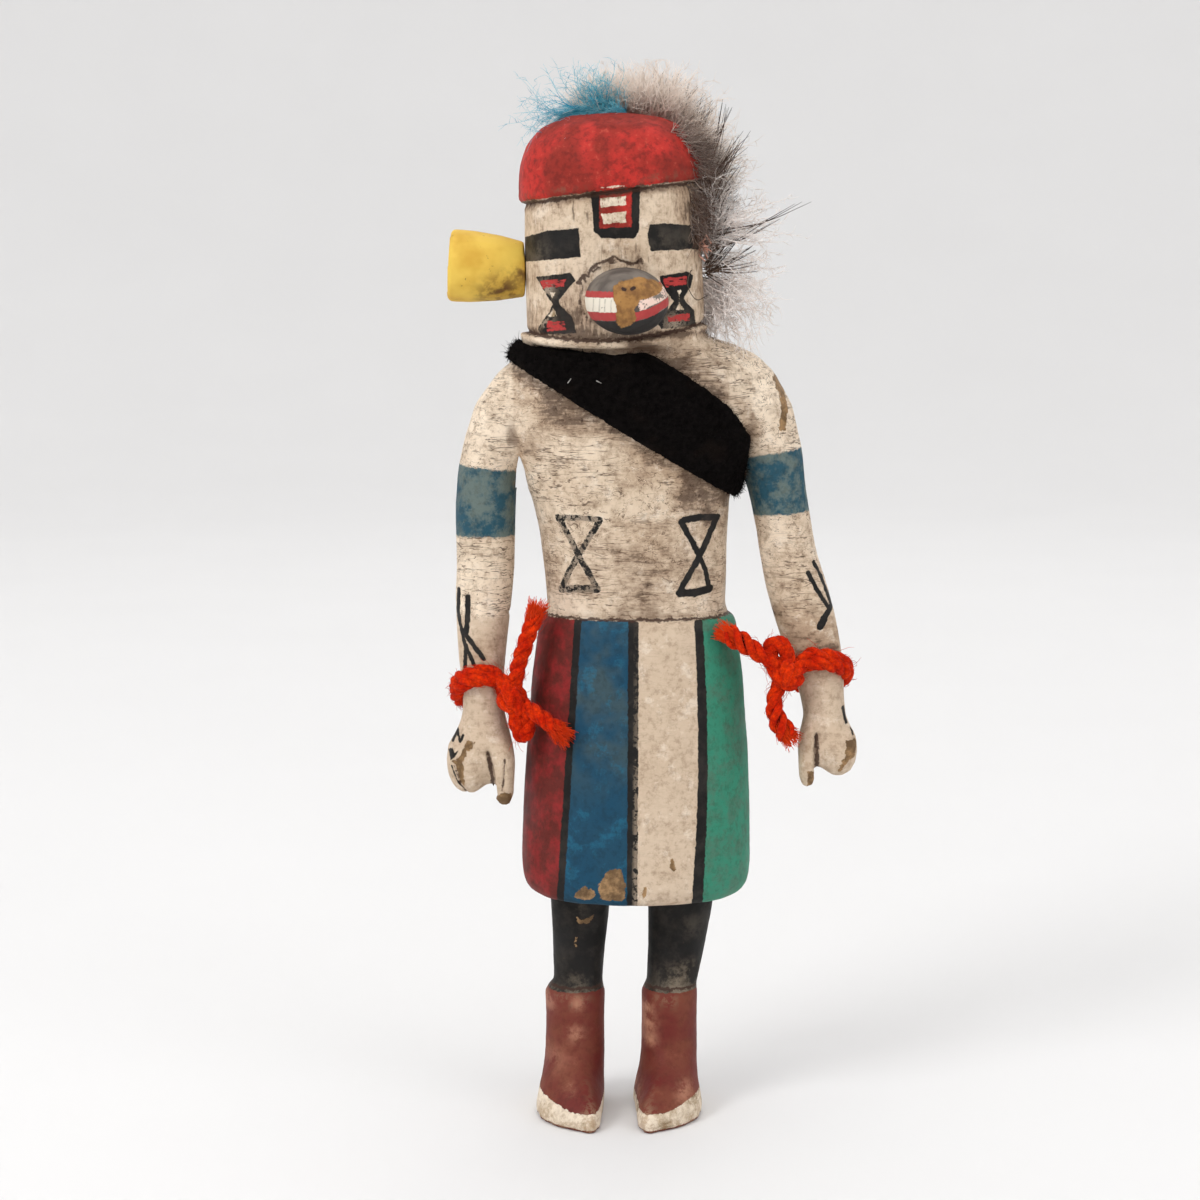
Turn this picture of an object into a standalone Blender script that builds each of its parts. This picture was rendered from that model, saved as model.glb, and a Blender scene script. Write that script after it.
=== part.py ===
"""A carved and painted kachina doll, about 257 mm from the floor to the top of its cap.

The figure is one piece of cottonwood root. A snout and an ear blossom are glued to its head, fur and
feathers are fastened over the crown and at the side of the head, a black wool strap crosses the chest,
and a length of red yarn is tied round each wrist. Metres, +Z up, and the doll faces -Y.
"""

import math

import bmesh
import bpy
from mathutils import Matrix, Vector
from mathutils.bvhtree import BVHTree

# Driving sizes, in metres
FIGURE_HEIGHT = 0.2566
GLUE_GAP = 0.0003

SNOUT_WIDTH = 0.0202
SNOUT_HEIGHT = 0.0162
SNOUT_REACH = 0.0175

EAR_LENGTH = 0.0194
EAR_ROOT_RADIUS = 0.0068
EAR_MOUTH_RADIUS = 0.0091
EAR_DISH_DEPTH = 0.0022

STRAP_WIDTH = 0.0208
STRAP_THICKNESS = 0.0026

YARN_DIAMETER = 0.0035
KNOT_RADIUS = 0.0050

FUR_DEPTH = 0.0080
PLUME_THICKNESS = 0.0022

# How finely the wood is carved and how many facets each piece keeps
WOOD_GRAIN = 0.0006
TRIM_GRAIN = 0.0007
SOFTENING_ROUNDS = 5
FIGURE_FACETS = 5400
STRAP_FACETS = 1100
YARN_FACETS = 420
FEATHER_FACETS = 320

# The carving marks below are millimetres on a doll drawn at this height, so they are shares of it.
DRAWN_HEIGHT = 256.6
MARK = FIGURE_HEIGHT / DRAWN_HEIGHT

# Levels of the carving, in marks
FLOOR = 0.0
SOLE_TOP = 3.0
ANKLE = 16.0
BOOT_TOP = 32.4
HEM = 57.8
WAIST = 130.6
COLLAR = 200.0
FACE_FOOT = 201.6
CAP_RIM = 237.6
CAP_TOP = 256.6

# A station is (height, left, right, front, back), all in marks: the outline at that height.
TORSO = (
    (WAIST - 8.0, -19.6, 24.4, -16.4, 16.0),
    (WAIST + 0.4, -20.4, 24.8, -17.2, 17.0),
    (141.0, -21.4, 25.0, -18.0, 17.4),
    (151.5, -22.6, 25.3, -18.8, 17.8),
    (160.0, -24.6, 25.8, -19.6, 18.2),
    (170.0, -28.4, 28.6, -20.4, 18.6),
    (179.0, -32.0, 33.4, -20.4, 18.8),
    (186.5, -33.4, 35.6, -19.8, 18.4),
    (192.0, -31.6, 33.4, -19.0, 17.6),
    (196.0, -28.4, 30.2, -18.4, 16.8),
    (COLLAR - 0.4, -25.2, 24.6, -17.6, 16.0),
    (COLLAR + 1.0, -23.4, 19.0, -16.8, 15.4),
)
KILT = (
    (WAIST + 0.6, -21.2, 25.6, -17.8, 17.4),
    (WAIST - 1.0, -22.5, 27.5, -19.1, 18.6),
    (WAIST - 2.6, -22.9, 27.9, -19.5, 19.0),
    (115.0, -24.5, 29.4, -20.3, 20.0),
    (98.0, -26.0, 30.8, -21.3, 21.0),
    (80.0, -27.1, 31.6, -22.1, 21.8),
    (HEM + 8.5, -27.5, 31.8, -22.5, 22.2),
    (HEM + 4.0, -27.1, 31.4, -22.4, 22.0),
    (HEM + 1.4, -25.6, 29.8, -21.4, 21.0),
    (HEM, -23.0, 27.2, -19.8, 19.2),
)
COLLAR_LIP = (
    (COLLAR - 0.9, -25.4, 18.6, -19.4, 18.4),
    (COLLAR - 0.2, -27.0, 20.0, -21.2, 19.8),
    (COLLAR + 0.9, -27.4, 20.4, -21.6, 20.2),
    (COLLAR + 1.7, -26.6, 19.6, -20.9, 19.6),
)
HEAD = (
    (FACE_FOOT - 1.0, -23.8, 17.6, -18.8, 18.4),
    (FACE_FOOT, -24.8, 18.7, -19.8, 19.4),
    (FACE_FOOT + 1.8, -25.6, 19.5, -20.6, 20.2),
    (212.0, -25.9, 19.0, -20.8, 20.4),
    (222.0, -26.1, 18.5, -20.7, 20.4),
    (232.0, -26.2, 18.1, -20.5, 20.2),
    (CAP_RIM + 7.0, -25.6, 17.4, -20.0, 19.8),
)
CAP = (
    (CAP_RIM - 0.9, -26.2, 17.8, -20.6, 20.2),
    (CAP_RIM, -27.5, 18.9, -22.0, 21.4),
    (CAP_RIM + 3.0, -27.8, 19.1, -22.3, 21.8),
    (CAP_RIM + 7.5, -27.4, 18.2, -21.8, 21.4),
    (CAP_RIM + 12.0, -25.6, 16.0, -19.8, 19.6),
    (CAP_RIM + 15.6, -22.2, 12.8, -16.6, 16.6),
    (CAP_RIM + 18.0, -16.4, 7.6, -11.4, 11.6),
    (CAP_TOP, -8.4, -0.4, -4.4, 4.6),
)
RIGHT_LEG = (
    (HEM + 8.0, -20.4, -4.2, -8.0, 8.0),
    (53.5, -20.0, -4.6, -7.8, 7.8),
    (42.0, -19.5, -5.9, -7.0, 7.0),
    (BOOT_TOP - 1.0, -19.1, -6.8, -6.4, 6.4),
    (BOOT_TOP - 6.0, -19.1, -6.8, -6.4, 6.4),
)
LEFT_LEG = (
    (HEM + 8.0, 5.0, 22.7, -8.4, 8.4),
    (53.5, 5.2, 22.2, -8.2, 8.2),
    (42.0, 5.2, 20.0, -7.4, 7.4),
    (BOOT_TOP - 1.0, 4.9, 17.6, -6.6, 6.6),
    (BOOT_TOP - 6.0, 4.9, 17.6, -6.6, 6.6),
)
RIGHT_ARM = (
    (197.0, -26.6, -15.0, -7.0, 8.0),
    (192.0, -33.0, -18.0, -9.8, 10.2),
    (184.0, -38.8, -22.0, -10.8, 10.8),
    (175.0, -41.7, -26.0, -10.6, 10.0),
    (167.0, -43.4, -28.4, -10.0, 9.0),
    (159.0, -44.0, -28.6, -9.4, 8.0),
    (151.5, -44.0, -28.7, -9.2, 7.2),
    (143.0, -43.9, -29.0, -9.6, 6.4),
    (136.0, -44.1, -29.6, -10.2, 5.2),
    (128.0, -43.9, -30.4, -11.2, 3.6),
    (120.0, -43.3, -31.2, -12.4, 1.6),
    (114.0, -42.6, -31.6, -13.0, 0.2),
    (107.0, -42.2, -31.7, -13.8, -1.2),
    (101.0, -43.0, -31.6, -14.4, -1.6),
)
LEFT_ARM = (
    (199.4, 12.0, 26.0, -6.4, 7.4),
    (196.4, 14.0, 32.4, -8.4, 9.4),
    (191.6, 18.0, 37.2, -9.9, 10.4),
    (183.6, 22.0, 41.6, -10.8, 10.8),
    (172.0, 27.0, 44.2, -10.4, 9.8),
    (165.0, 29.6, 45.0, -9.8, 8.8),
    (159.0, 31.2, 45.8, -9.4, 8.0),
    (151.5, 32.8, 47.0, -9.2, 7.2),
    (146.0, 33.6, 48.2, -9.6, 6.6),
    (138.0, 34.9, 50.9, -10.2, 5.4),
    (130.0, 37.0, 52.9, -11.2, 3.8),
    (123.0, 39.4, 54.1, -12.2, 2.2),
    (117.0, 41.4, 54.9, -12.8, 0.8),
    (110.0, 43.8, 55.0, -13.6, -0.8),
    (103.0, 45.0, 55.8, -14.4, -1.6),
)

# The parts of a hand, drawn for the doll's right one, in marks from the middle of the palm
PALM = (
    (13.5, -4.2, 5.6, -5.2, 6.6),
    (9.5, -4.8, 6.0, -6.0, 6.8),
    (5.5, -6.6, 7.2, -7.2, 7.0),
    (1.5, -8.4, 8.2, -7.8, 7.0),
    (-1.8, -8.9, 8.3, -7.8, 6.8),
    (-5.0, -7.8, 7.4, -6.0, 6.0),
    (-7.6, -6.0, 6.0, -3.6, 4.4),
)
FIST = (
    (3.0, -8.4, 0.4, -7.6, 6.4),
    (-1.6, -9.1, 0.9, -9.0, 6.8),
    (-5.8, -8.5, 0.8, -8.8, 6.4),
    (-8.6, -7.0, 0.3, -7.2, 4.2),
    (-9.8, -5.2, -0.8, -5.0, 2.4),
)
THUMB = (
    (4.0, 2.0, 7.8, -7.4, 1.0),
    (-1.0, 2.0, 8.8, -9.4, 0.0),
    (-6.0, 2.3, 8.5, -9.8, -1.0),
    (-10.2, 3.2, 8.2, -9.4, -2.0),
    (-12.8, 4.2, 7.4, -8.2, -4.0),
)
RIGHT_PALM_MIDDLE = (-37.3, -8.0, 95.5)
LEFT_PALM_MIDDLE = (50.5, -8.0, 98.6)
LEFT_HAND_SIZE = 0.88

# The plan of the right sole, in marks from the middle of its ankle, from the heel round by the outside
SOLE_PLAN = (
    (0.2, 10.6),
    (-5.6, 9.2),
    (-8.6, 4.6),
    (-9.7, -2.0),
    (-10.2, -8.4),
    (-8.6, -14.6),
    (-3.8, -20.6),
    (1.6, -24.2),
    (4.4, -25.6),
    (6.4, -23.0),
    (7.1, -16.0),
    (7.5, -6.0),
    (7.6, 3.0),
    (5.6, 8.8),
)
# Each boot: the middle of its ankle, the half width of its shaft, how far its sole lies outwards of the ankle
RIGHT_BOOT = (-13.7, 7.9, 0.0)
LEFT_BOOT = (10.9, 7.4, -1.7)
# (height, how far the section has gone from the sole's plan to the shaft's oval, growth of the outline)
BOOT_FOOT = (
    (FLOOR - 2.0, 0.00, 0.97),
    (FLOOR + 0.9, 0.00, 0.99),
    (SOLE_TOP, 0.02, 1.00),
    (5.2, 0.12, 0.995),
    (7.6, 0.33, 0.98),
    (10.0, 0.56, 0.98),
    (12.6, 0.80, 0.99),
    (ANKLE, 1.00, 1.00),
    (24.0, 1.00, 0.985),
    (BOOT_TOP - 1.2, 1.00, 1.00),
    (BOOT_TOP, 1.00, 0.94),
)
SHAFT_FRONT = -8.8
SHAFT_BACK = 9.2

# The strap lies in a slanting plane: its lower edge crosses the outline at these two points (x, height).
STRAP_SHOULDER = (-28.1, 193.7)
STRAP_ARMPIT = (28.0, 159.8)
# (degrees round the loop from the shoulder by the front, share of its width that the strap keeps there)
STRAP_BUNCHING = (
    (0, 1.0),
    (110, 0.98),
    (135, 0.94),
    (153, 0.80),
    (166, 0.62),
    (180, 0.42),
    (196, 0.60),
    (220, 0.85),
    (260, 1.0),
    (360, 1.0),
)
STRAP_TOP = COLLAR + 0.2
STRAP_STEPS = 48
STRAP_ROWS = 6

# Where the yarn is tied: the middle of the wrist, its half sizes, the tilt, and the routes of the ends
RIGHT_TIE = {
    "wrist": (-36.9, -6.9, 111.2),
    "halves": (4.9, 6.4),
    "tilt": 29.0,
    "knot": (-29.6, -14.0, 110.7),
    "ends": (
        ((-29.0, -14.6, 112.6), (-27.6, -16.0, 119.4), (-25.2, -16.8, 127.0), (-23.2, -16.8, 133.0)),
        ((-28.6, -14.4, 109.0), (-28.2, -16.4, 103.6), (-26.4, -16.6, 100.9), (-25.6, -16.2, 106.0)),
        ((-27.4, -15.0, 109.6), (-23.2, -17.8, 107.0), (-19.4, -19.2, 104.4), (-16.6, -20.4, 102.4)),
    ),
}
LEFT_TIE = {
    "wrist": (48.2, -6.4, 115.8),
    "halves": (5.5, 6.6),
    "tilt": 25.0,
    "knot": (39.8, -14.6, 116.7),
    "ends": (
        ((38.6, -15.0, 118.4), (33.6, -17.0, 121.6), (29.4, -16.6, 124.4), (24.6, -15.4, 127.2)),
        ((40.0, -14.8, 118.0), (39.4, -16.0, 123.4), (36.2, -15.8, 124.6), (35.8, -15.4, 119.6)),
        ((38.2, -15.2, 114.6), (36.6, -16.8, 110.0), (37.6, -17.4, 105.0), (40.2, -17.2, 101.4)),
    ),
}

# The routes of the fur and the plumes: (x, y, height, half width), in marks
CROWN_FUR = (
    (-9.5, 6.5, 258.6, 2.6),
    (-5.5, 6.5, 261.6, 5.0),
    (1.5, 6.5, 263.4, 6.0),
    (9.5, 6.5, 262.0, 6.6),
    (16.4, 6.5, 256.2, 6.4),
    (21.0, 6.5, 248.2, 6.2),
    (22.8, 6.5, 238.6, 5.8),
    (22.2, 6.5, 229.8, 4.6),
    (20.4, 6.5, 224.4, 2.6),
)
BLUE_PLUMES = (
    (
        (1.0, -4.6, 257.6, 1.6),
        (-6.5, -4.8, 259.2, 3.6),
        (-14.0, -5.0, 258.6, 4.6),
        (-21.5, -5.0, 256.6, 5.0),
        (-28.6, -5.0, 256.0, 3.2),
    ),
    ((-5.5, -4.6, 258.6, 2.6), (-8.2, -4.6, 262.4, 3.6), (-9.6, -4.6, 267.0, 2.2)),
)
SIDE_PLUMES = (
    (
        (18.6, -3.6, 217.6, 2.6),
        (24.6, -3.6, 221.4, 4.2),
        (31.4, -3.6, 228.4, 5.8),
        (37.6, -3.6, 234.4, 4.2),
        (41.4, -3.6, 237.8, 1.6),
    ),
    ((18.6, -3.6, 217.0, 2.6), (24.6, -3.6, 216.6, 4.0), (31.6, -3.6, 214.8, 4.4), (37.0, -3.6, 212.6, 2.2)),
    ((19.4, -3.6, 216.6, 2.8), (22.6, -3.6, 211.4, 5.0), (26.0, -3.6, 205.8, 5.0), (29.4, -3.6, 200.6, 2.2)),
)

COTTONWOOD = (0.72, 0.66, 0.56, 1.0)
SNOUT_PAINT = (0.20, 0.17, 0.16, 1.0)
YELLOW_PAINT = (0.62, 0.44, 0.08, 1.0)
BLACK_WOOL = (0.012, 0.010, 0.010, 1.0)
RED_YARN = (0.52, 0.06, 0.02, 1.0)
GREY_FUR = (0.38, 0.32, 0.28, 1.0)
BLUE_DOWN = (0.06, 0.38, 0.48, 1.0)
PALE_DOWN = (0.60, 0.56, 0.54, 1.0)


def clear_scene():
    for old in list(bpy.data.objects):
        bpy.data.objects.remove(old)


def point(x, y, z):
    """A place given in marks, in metres."""
    return Vector((x, y, z)) * MARK


def paint(name, colour, roughness):
    material = bpy.data.materials.new(name)
    material.use_nodes = True
    shader = material.node_tree.nodes["Principled BSDF"]
    shader.inputs["Base Color"].default_value = colour
    shader.inputs["Roughness"].default_value = roughness
    shader.inputs["Metallic"].default_value = 0.0
    return material


def oval(station, roundness, sides=36):
    """A level ring through a station's four outline values: roundness 2 is an ellipse, more is squarer."""
    z, left, right, front, back = station
    middle_x, half_x = (left + right) / 2, (right - left) / 2
    middle_y, half_y = (front + back) / 2, (back - front) / 2
    ring = []
    for i in range(sides):
        angle = 2 * math.pi * i / sides
        c, s = math.cos(angle), math.sin(angle)
        x = math.copysign(abs(c) ** (2 / roundness), c)
        y = math.copysign(abs(s) ** (2 / roundness), s)
        ring.append(point(middle_x + half_x * x, middle_y + half_y * y, z))
    return ring


def add_shell(bm, rings, closed_loop=False):
    """Joins rings of equal count with faces, into one closed shell."""
    rows = [[bm.verts.new(p) for p in ring] for ring in rings]
    count = len(rows[0])
    pairs = list(zip(rows, rows[1:]))
    if closed_loop:
        pairs.append((rows[-1], rows[0]))
    faces = []
    for lower, upper in pairs:
        for i in range(count):
            j = (i + 1) % count
            faces.append(bm.faces.new((lower[i], lower[j], upper[j], upper[i])))
    if not closed_loop:
        faces.append(bm.faces.new(rows[0][::-1]))
        faces.append(bm.faces.new(rows[-1]))
    bmesh.ops.recalc_face_normals(bm, faces=faces)


def smooth_route(points, steps):
    """More points along a curve through the given tuples, which may hold any numbers."""
    padded = [points[0], *points, points[-1]]
    route = []
    for k in range(1, len(padded) - 2):
        a, b, c, d = (Vector(p) for p in padded[k - 1 : k + 3])
        for i in range(steps):
            t = i / steps
            bend = (2 * a - 5 * b + 4 * c - d) * t**2 + (3 * b - a - 3 * c + d) * t**3
            route.append(0.5 * (2 * b + (c - a) * t + bend))
    route.append(Vector(padded[-2]))
    return route


def tube_rings(route, half_across, half_deep, sides=10):
    """Rings round a route of Vectors in metres. Across is in the plane of the front, deep runs along Y."""
    rings = []
    for i, here in enumerate(route):
        ahead = route[min(i + 1, len(route) - 1)] - route[max(i - 1, 0)]
        along = ahead.normalized()
        across = along.cross(Vector((0, 1, 0))).normalized()
        deep = across.cross(along).normalized()
        ring = []
        for k in range(sides):
            angle = 2 * math.pi * k / sides
            spoke = across * half_across[i] * math.cos(angle) + deep * half_deep[i] * math.sin(angle)
            ring.append(here + spoke)
        rings.append(ring)
    return rings


def object_from(bm, name, material):
    mesh = bpy.data.meshes.new(name)
    bm.to_mesh(mesh)
    bm.free()
    made = bpy.data.objects.new(name, mesh)
    bpy.context.scene.collection.objects.link(made)
    mesh.materials.append(material)
    return made


def evaluated_mesh(source):
    graph = bpy.context.evaluated_depsgraph_get()
    return bpy.data.meshes.new_from_object(source.evaluated_get(graph))


def thin_out(source, facets):
    """Keeps about that many facets of an object."""
    triangles = sum(len(face.vertices) - 2 for face in evaluated_mesh(source).polygons)
    fewer = source.modifiers.new("Facets", "DECIMATE")
    fewer.ratio = min(1.0, facets / triangles)
    fewer.use_collapse_triangulate = True
    return source


def carve(source, grain, rounds, facets):
    """Fuses the shells of an object into one skin, softens its edges and keeps about that many facets."""
    remesh = source.modifiers.new("Fuse", "REMESH")
    remesh.mode = "VOXEL"
    remesh.voxel_size = grain
    if rounds:
        soften = source.modifiers.new("Soften", "SMOOTH")
        soften.factor = 0.5
        soften.iterations = rounds
    dense = evaluated_mesh(source)
    source.modifiers.clear()
    material = source.data.materials[0]
    source.data = dense
    if not dense.materials:
        dense.materials.append(material)
    thin_out(source, facets)
    source.data = evaluated_mesh(source)
    source.modifiers.clear()
    return source


def boot_rings(boot, mirrored):
    """The rings of one boot: from the plan of its sole to the oval of its shaft."""
    ankle_x, shaft_half_width, sole_out = boot
    plan = [p.to_2d() for p in smooth_route([(x, y, 0) for x, y in SOLE_PLAN + SOLE_PLAN[:1]], 3)][:-1]
    rings = []
    for height, share, growth in BOOT_FOOT:
        ring = []
        for p in plan:
            angle = math.atan2(p.y, p.x)
            deep = SHAFT_BACK if p.y > 0 else -SHAFT_FRONT
            shaft = Vector((shaft_half_width * math.cos(angle), deep * math.sin(angle)))
            sole = Vector((p.x - sole_out, p.y))
            here = sole.lerp(shaft, share) * growth
            side = -here.x if mirrored else here.x
            ring.append(point(ankle_x + side, here.y, height))
        rings.append(ring)
    return rings


def add_hand(bm, middle, size, mirrored):
    for part, roundness in ((PALM, 2.2), (FIST, 2.6), (THUMB, 2.4)):
        rings = []
        for z, left, right, front, back in part:
            if mirrored:
                left, right = -right, -left
            rings.append(
                oval(
                    (
                        middle[2] + z * size,
                        middle[0] + left * size,
                        middle[0] + right * size,
                        middle[1] + front * size,
                        middle[1] + back * size,
                    ),
                    roundness,
                    24,
                )
            )
        add_shell(bm, rings)


def cap_rings():
    """The cap's rings. Its rim is tilted, higher on the doll's left, and the tilt dies out upwards."""
    rim_slope = 0.124
    middle = (CAP[1][1] + CAP[1][2]) / 2
    rings = []
    for station in CAP:
        level = max(0.0, 1 - max(0.0, station[0] - CAP_RIM) / (CAP_TOP - CAP_RIM))
        ring = oval(station, 2.5)
        for p in ring:
            p.z += rim_slope * level * (p.x - middle * MARK)
        rings.append(ring)
    return rings


def add_torso(bm):
    add_shell(bm, [oval(s, 2.35) for s in TORSO])


def make_figure(material):
    """The whole carving: one solid, with flat soles on the floor."""
    bm = bmesh.new()
    add_torso(bm)
    add_shell(bm, [oval(s, 2.7) for s in COLLAR_LIP])
    add_shell(bm, [oval(s, 2.8) for s in HEAD])
    add_shell(bm, cap_rings())
    add_shell(bm, [oval(s, 2.35) for s in KILT])
    for leg in (RIGHT_LEG, LEFT_LEG):
        add_shell(bm, [oval(s, 2.1) for s in leg])
    for arm in (RIGHT_ARM, LEFT_ARM):
        add_shell(bm, [oval(s, 2.2) for s in arm])
    add_shell(bm, boot_rings(RIGHT_BOOT, mirrored=False))
    add_shell(bm, boot_rings(LEFT_BOOT, mirrored=True))
    add_hand(bm, RIGHT_PALM_MIDDLE, 1.0, mirrored=False)
    add_hand(bm, LEFT_PALM_MIDDLE, LEFT_HAND_SIZE, mirrored=True)
    figure = carve(object_from(bm, "carved_figure", material), WOOD_GRAIN, SOFTENING_ROUNDS, FIGURE_FACETS)
    flatten_soles(figure)
    return figure


def flatten_soles(figure):
    """Saws the feet off level with the floor."""
    bm = bmesh.new()
    bm.from_mesh(figure.data)
    cut = bmesh.ops.bisect_plane(
        bm,
        geom=bm.verts[:] + bm.edges[:] + bm.faces[:],
        dist=1e-6,
        plane_co=(0, 0, FLOOR),
        plane_no=(0, 0, 1),
        clear_inner=True,
    )
    rim = [e for e in cut["geom_cut"] if isinstance(e, bmesh.types.BMEdge)]
    bmesh.ops.holes_fill(bm, edges=rim, sides=0)
    bmesh.ops.triangulate(bm, faces=[f for f in bm.faces if len(f.verts) > 3])
    bm.to_mesh(figure.data)
    bm.free()


def clearance_cutter(figure):
    """The figure grown by the glue gap. Every added piece is trimmed with it, to fit without overlap."""
    cutter = bpy.data.objects.new("clearance_cutter", figure.data.copy())
    bpy.context.scene.collection.objects.link(cutter)
    grow = cutter.modifiers.new("Glue gap", "DISPLACE")
    grow.strength = GLUE_GAP
    grow.mid_level = 0.0
    cutter.hide_render = True
    cutter.display_type = "WIRE"
    return cutter


def trim(piece, cutter):
    cut = piece.modifiers.new("Fit to figure", "BOOLEAN")
    cut.operation = "DIFFERENCE"
    cut.solver = "EXACT"
    cut.use_self = True
    cut.object = cutter
    return piece


def make_snout(cutter, material):
    """A blunt, rounded snout, wider than it is high, that points a little to the doll's left."""
    middle = point(-1.2, HEAD[3][3], 210.6)
    root_inside = 0.004
    profile = ((0.0, 0.94), (0.35, 1.0), (0.62, 0.97), (0.82, 0.86), (0.94, 0.66), (1.0, 0.36))
    turn = Matrix.Rotation(math.radians(6.0), 3, "Z") @ Matrix.Rotation(math.radians(4.0), 3, "X")
    rings = []
    for share, size in profile:
        away = -root_inside + share * (SNOUT_REACH + root_inside)
        ring = []
        for i in range(24):
            angle = 2 * math.pi * i / 24
            across = SNOUT_WIDTH / 2 * size * math.cos(angle)
            up = SNOUT_HEIGHT / 2 * size * math.sin(angle)
            ring.append(middle + turn @ Vector((across, -away, up)))
        rings.append(ring)
    bm = bmesh.new()
    add_shell(bm, rings)
    return trim(object_from(bm, "snout", material), cutter)


def make_ear(cutter, material):
    """The ear blossom: a peg that flares to a shallow dished mouth, at the right side of the head."""
    root_inside = 0.003
    root = point(HEAD[3][1], -1.0, 217.6)
    lean = math.radians(3.5)
    outward = Vector((-math.cos(lean), 0, math.sin(lean)))
    upward = Vector((math.sin(lean), 0, math.cos(lean)))
    edge = 0.0009
    flare = EAR_MOUTH_RADIUS - EAR_ROOT_RADIUS
    profile = [
        (-root_inside, EAR_ROOT_RADIUS),
        (0.0, EAR_ROOT_RADIUS),
        (EAR_LENGTH * 0.35, EAR_ROOT_RADIUS + flare * 0.62),
        (EAR_LENGTH * 0.7, EAR_ROOT_RADIUS + flare * 0.95),
        (EAR_LENGTH - edge, EAR_MOUTH_RADIUS),
        (EAR_LENGTH, EAR_MOUTH_RADIUS - edge),
        (EAR_LENGTH - EAR_DISH_DEPTH * 0.7, EAR_MOUTH_RADIUS * 0.5),
        (EAR_LENGTH - EAR_DISH_DEPTH, EAR_MOUTH_RADIUS * 0.16),
    ]
    rings = []
    for along, radius in profile:
        ring = []
        for i in range(24):
            angle = 2 * math.pi * i / 24
            spoke = Vector((0, 1, 0)) * math.cos(angle) + upward * math.sin(angle)
            ring.append(root + outward * along + spoke * radius)
        rings.append(ring)
    bm = bmesh.new()
    add_shell(bm, rings)
    return trim(object_from(bm, "ear_blossom", material), cutter)


def between(table, at):
    """The value of a (place, value) table at a place, eased between its rows."""
    for (a, low), (b, high) in zip(table, table[1:]):
        if at <= b:
            t = (at - a) / (b - a)
            return low + (high - low) * (3 - 2 * t) * t * t
    return table[-1][1]


def make_strap(cutter, material):
    """The wool strap: a band round the torso from the right shoulder to the left armpit.

    Rays find the torso under it. Its upper edge tucks in under the collar, and it is bunched in the armpit.
    """
    bm = bmesh.new()
    add_torso(bm)
    torso = BVHTree.FromBMesh(bm)
    bm.free()
    shoulder = point(STRAP_SHOULDER[0], 0, STRAP_SHOULDER[1])
    armpit = point(STRAP_ARMPIT[0], 0, STRAP_ARMPIT[1])
    along = (armpit - shoulder).normalized()
    rise = Vector((-along.z, 0, along.x))
    middle = (shoulder + armpit) / 2
    far = 0.3
    inside = 0.0012
    rings = []
    for k in range(STRAP_STEPS):
        degrees = 360 * k / STRAP_STEPS
        angle = math.radians(degrees)
        outward = -along * math.cos(angle) + Vector((0, -1, 0)) * math.sin(angle)
        lower_edge = (middle - along * math.cos(angle) * (armpit - shoulder).length / 2).z
        room_to_collar = (STRAP_TOP * MARK - lower_edge) / rise.z
        width = min(STRAP_WIDTH * between(STRAP_BUNCHING, degrees), room_to_collar)
        rows = []
        for r in range(STRAP_ROWS):
            share = r / (STRAP_ROWS - 1)
            centre = middle + rise * width * share
            hit = torso.ray_cast(centre + outward * far, -outward)[0]
            edge_round = 1 - 0.45 * abs(2 * share - 1) ** 4
            rows.append((hit, STRAP_THICKNESS * edge_round))
        outer = [hit + outward * thick for hit, thick in rows]
        inner = [hit - outward * inside for hit, _ in rows]
        rings.append(outer + inner[::-1])
    bm = bmesh.new()
    add_shell(bm, rings, closed_loop=True)
    strap = trim(object_from(bm, "wool_strap", material), cutter)
    return thin_out(strap, STRAP_FACETS)


def add_tie(bm, tie):
    """Two turns of yarn round a wrist as one fat ring, the knot as a ball, and the ends as tubes."""
    turns = 2
    centre = point(*tie["wrist"])
    tilt = Matrix.Rotation(math.radians(-tie["tilt"]), 3, "X")
    half_x, half_y = (h * MARK + YARN_DIAMETER / 2 for h in tie["halves"])
    rings = []
    for k in range(28):
        angle = 2 * math.pi * k / 28
        spoke = Vector((math.cos(angle), math.sin(angle), 0))
        base = Vector((half_x * spoke.x, half_y / math.cos(math.radians(tie["tilt"])) * spoke.y, 0))
        ring = []
        for i in range(12):
            round_it = 2 * math.pi * i / 12
            out = YARN_DIAMETER / 2 * math.cos(round_it)
            up = YARN_DIAMETER / 2 * turns * 0.95 * math.sin(round_it)
            ring.append(centre + tilt @ (base + spoke * out + Vector((0, 0, up))))
        rings.append(ring)
    add_shell(bm, rings, closed_loop=True)
    ball = bmesh.ops.create_icosphere(bm, subdivisions=2, radius=KNOT_RADIUS)
    bmesh.ops.translate(bm, verts=ball["verts"], vec=point(*tie["knot"]))
    for end in tie["ends"]:
        route = smooth_route([point(*p) for p in end], 5)
        half = [YARN_DIAMETER / 2 * 1.1] * len(route)
        add_shell(bm, tube_rings(route, half, half))


def make_tie(name, tie, cutter, material):
    bm = bmesh.new()
    add_tie(bm, tie)
    return trim(carve(object_from(bm, name, material), TRIM_GRAIN, 1, YARN_FACETS), cutter)


def plume_rings(plume, half_deep):
    smoothed = smooth_route(plume, 5)
    route = [point(*p[:3]) for p in smoothed]
    half = [p[3] * MARK for p in smoothed]
    deep = [min(half_deep, h) for h in half]
    return tube_rings(route, half, deep, sides=12)


def make_plumage(name, plumes, half_deep, cutter, material):
    bm = bmesh.new()
    for plume in plumes:
        add_shell(bm, plume_rings(plume, half_deep))
    return trim(carve(object_from(bm, name, material), TRIM_GRAIN, 1, FEATHER_FACETS), cutter)


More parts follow.
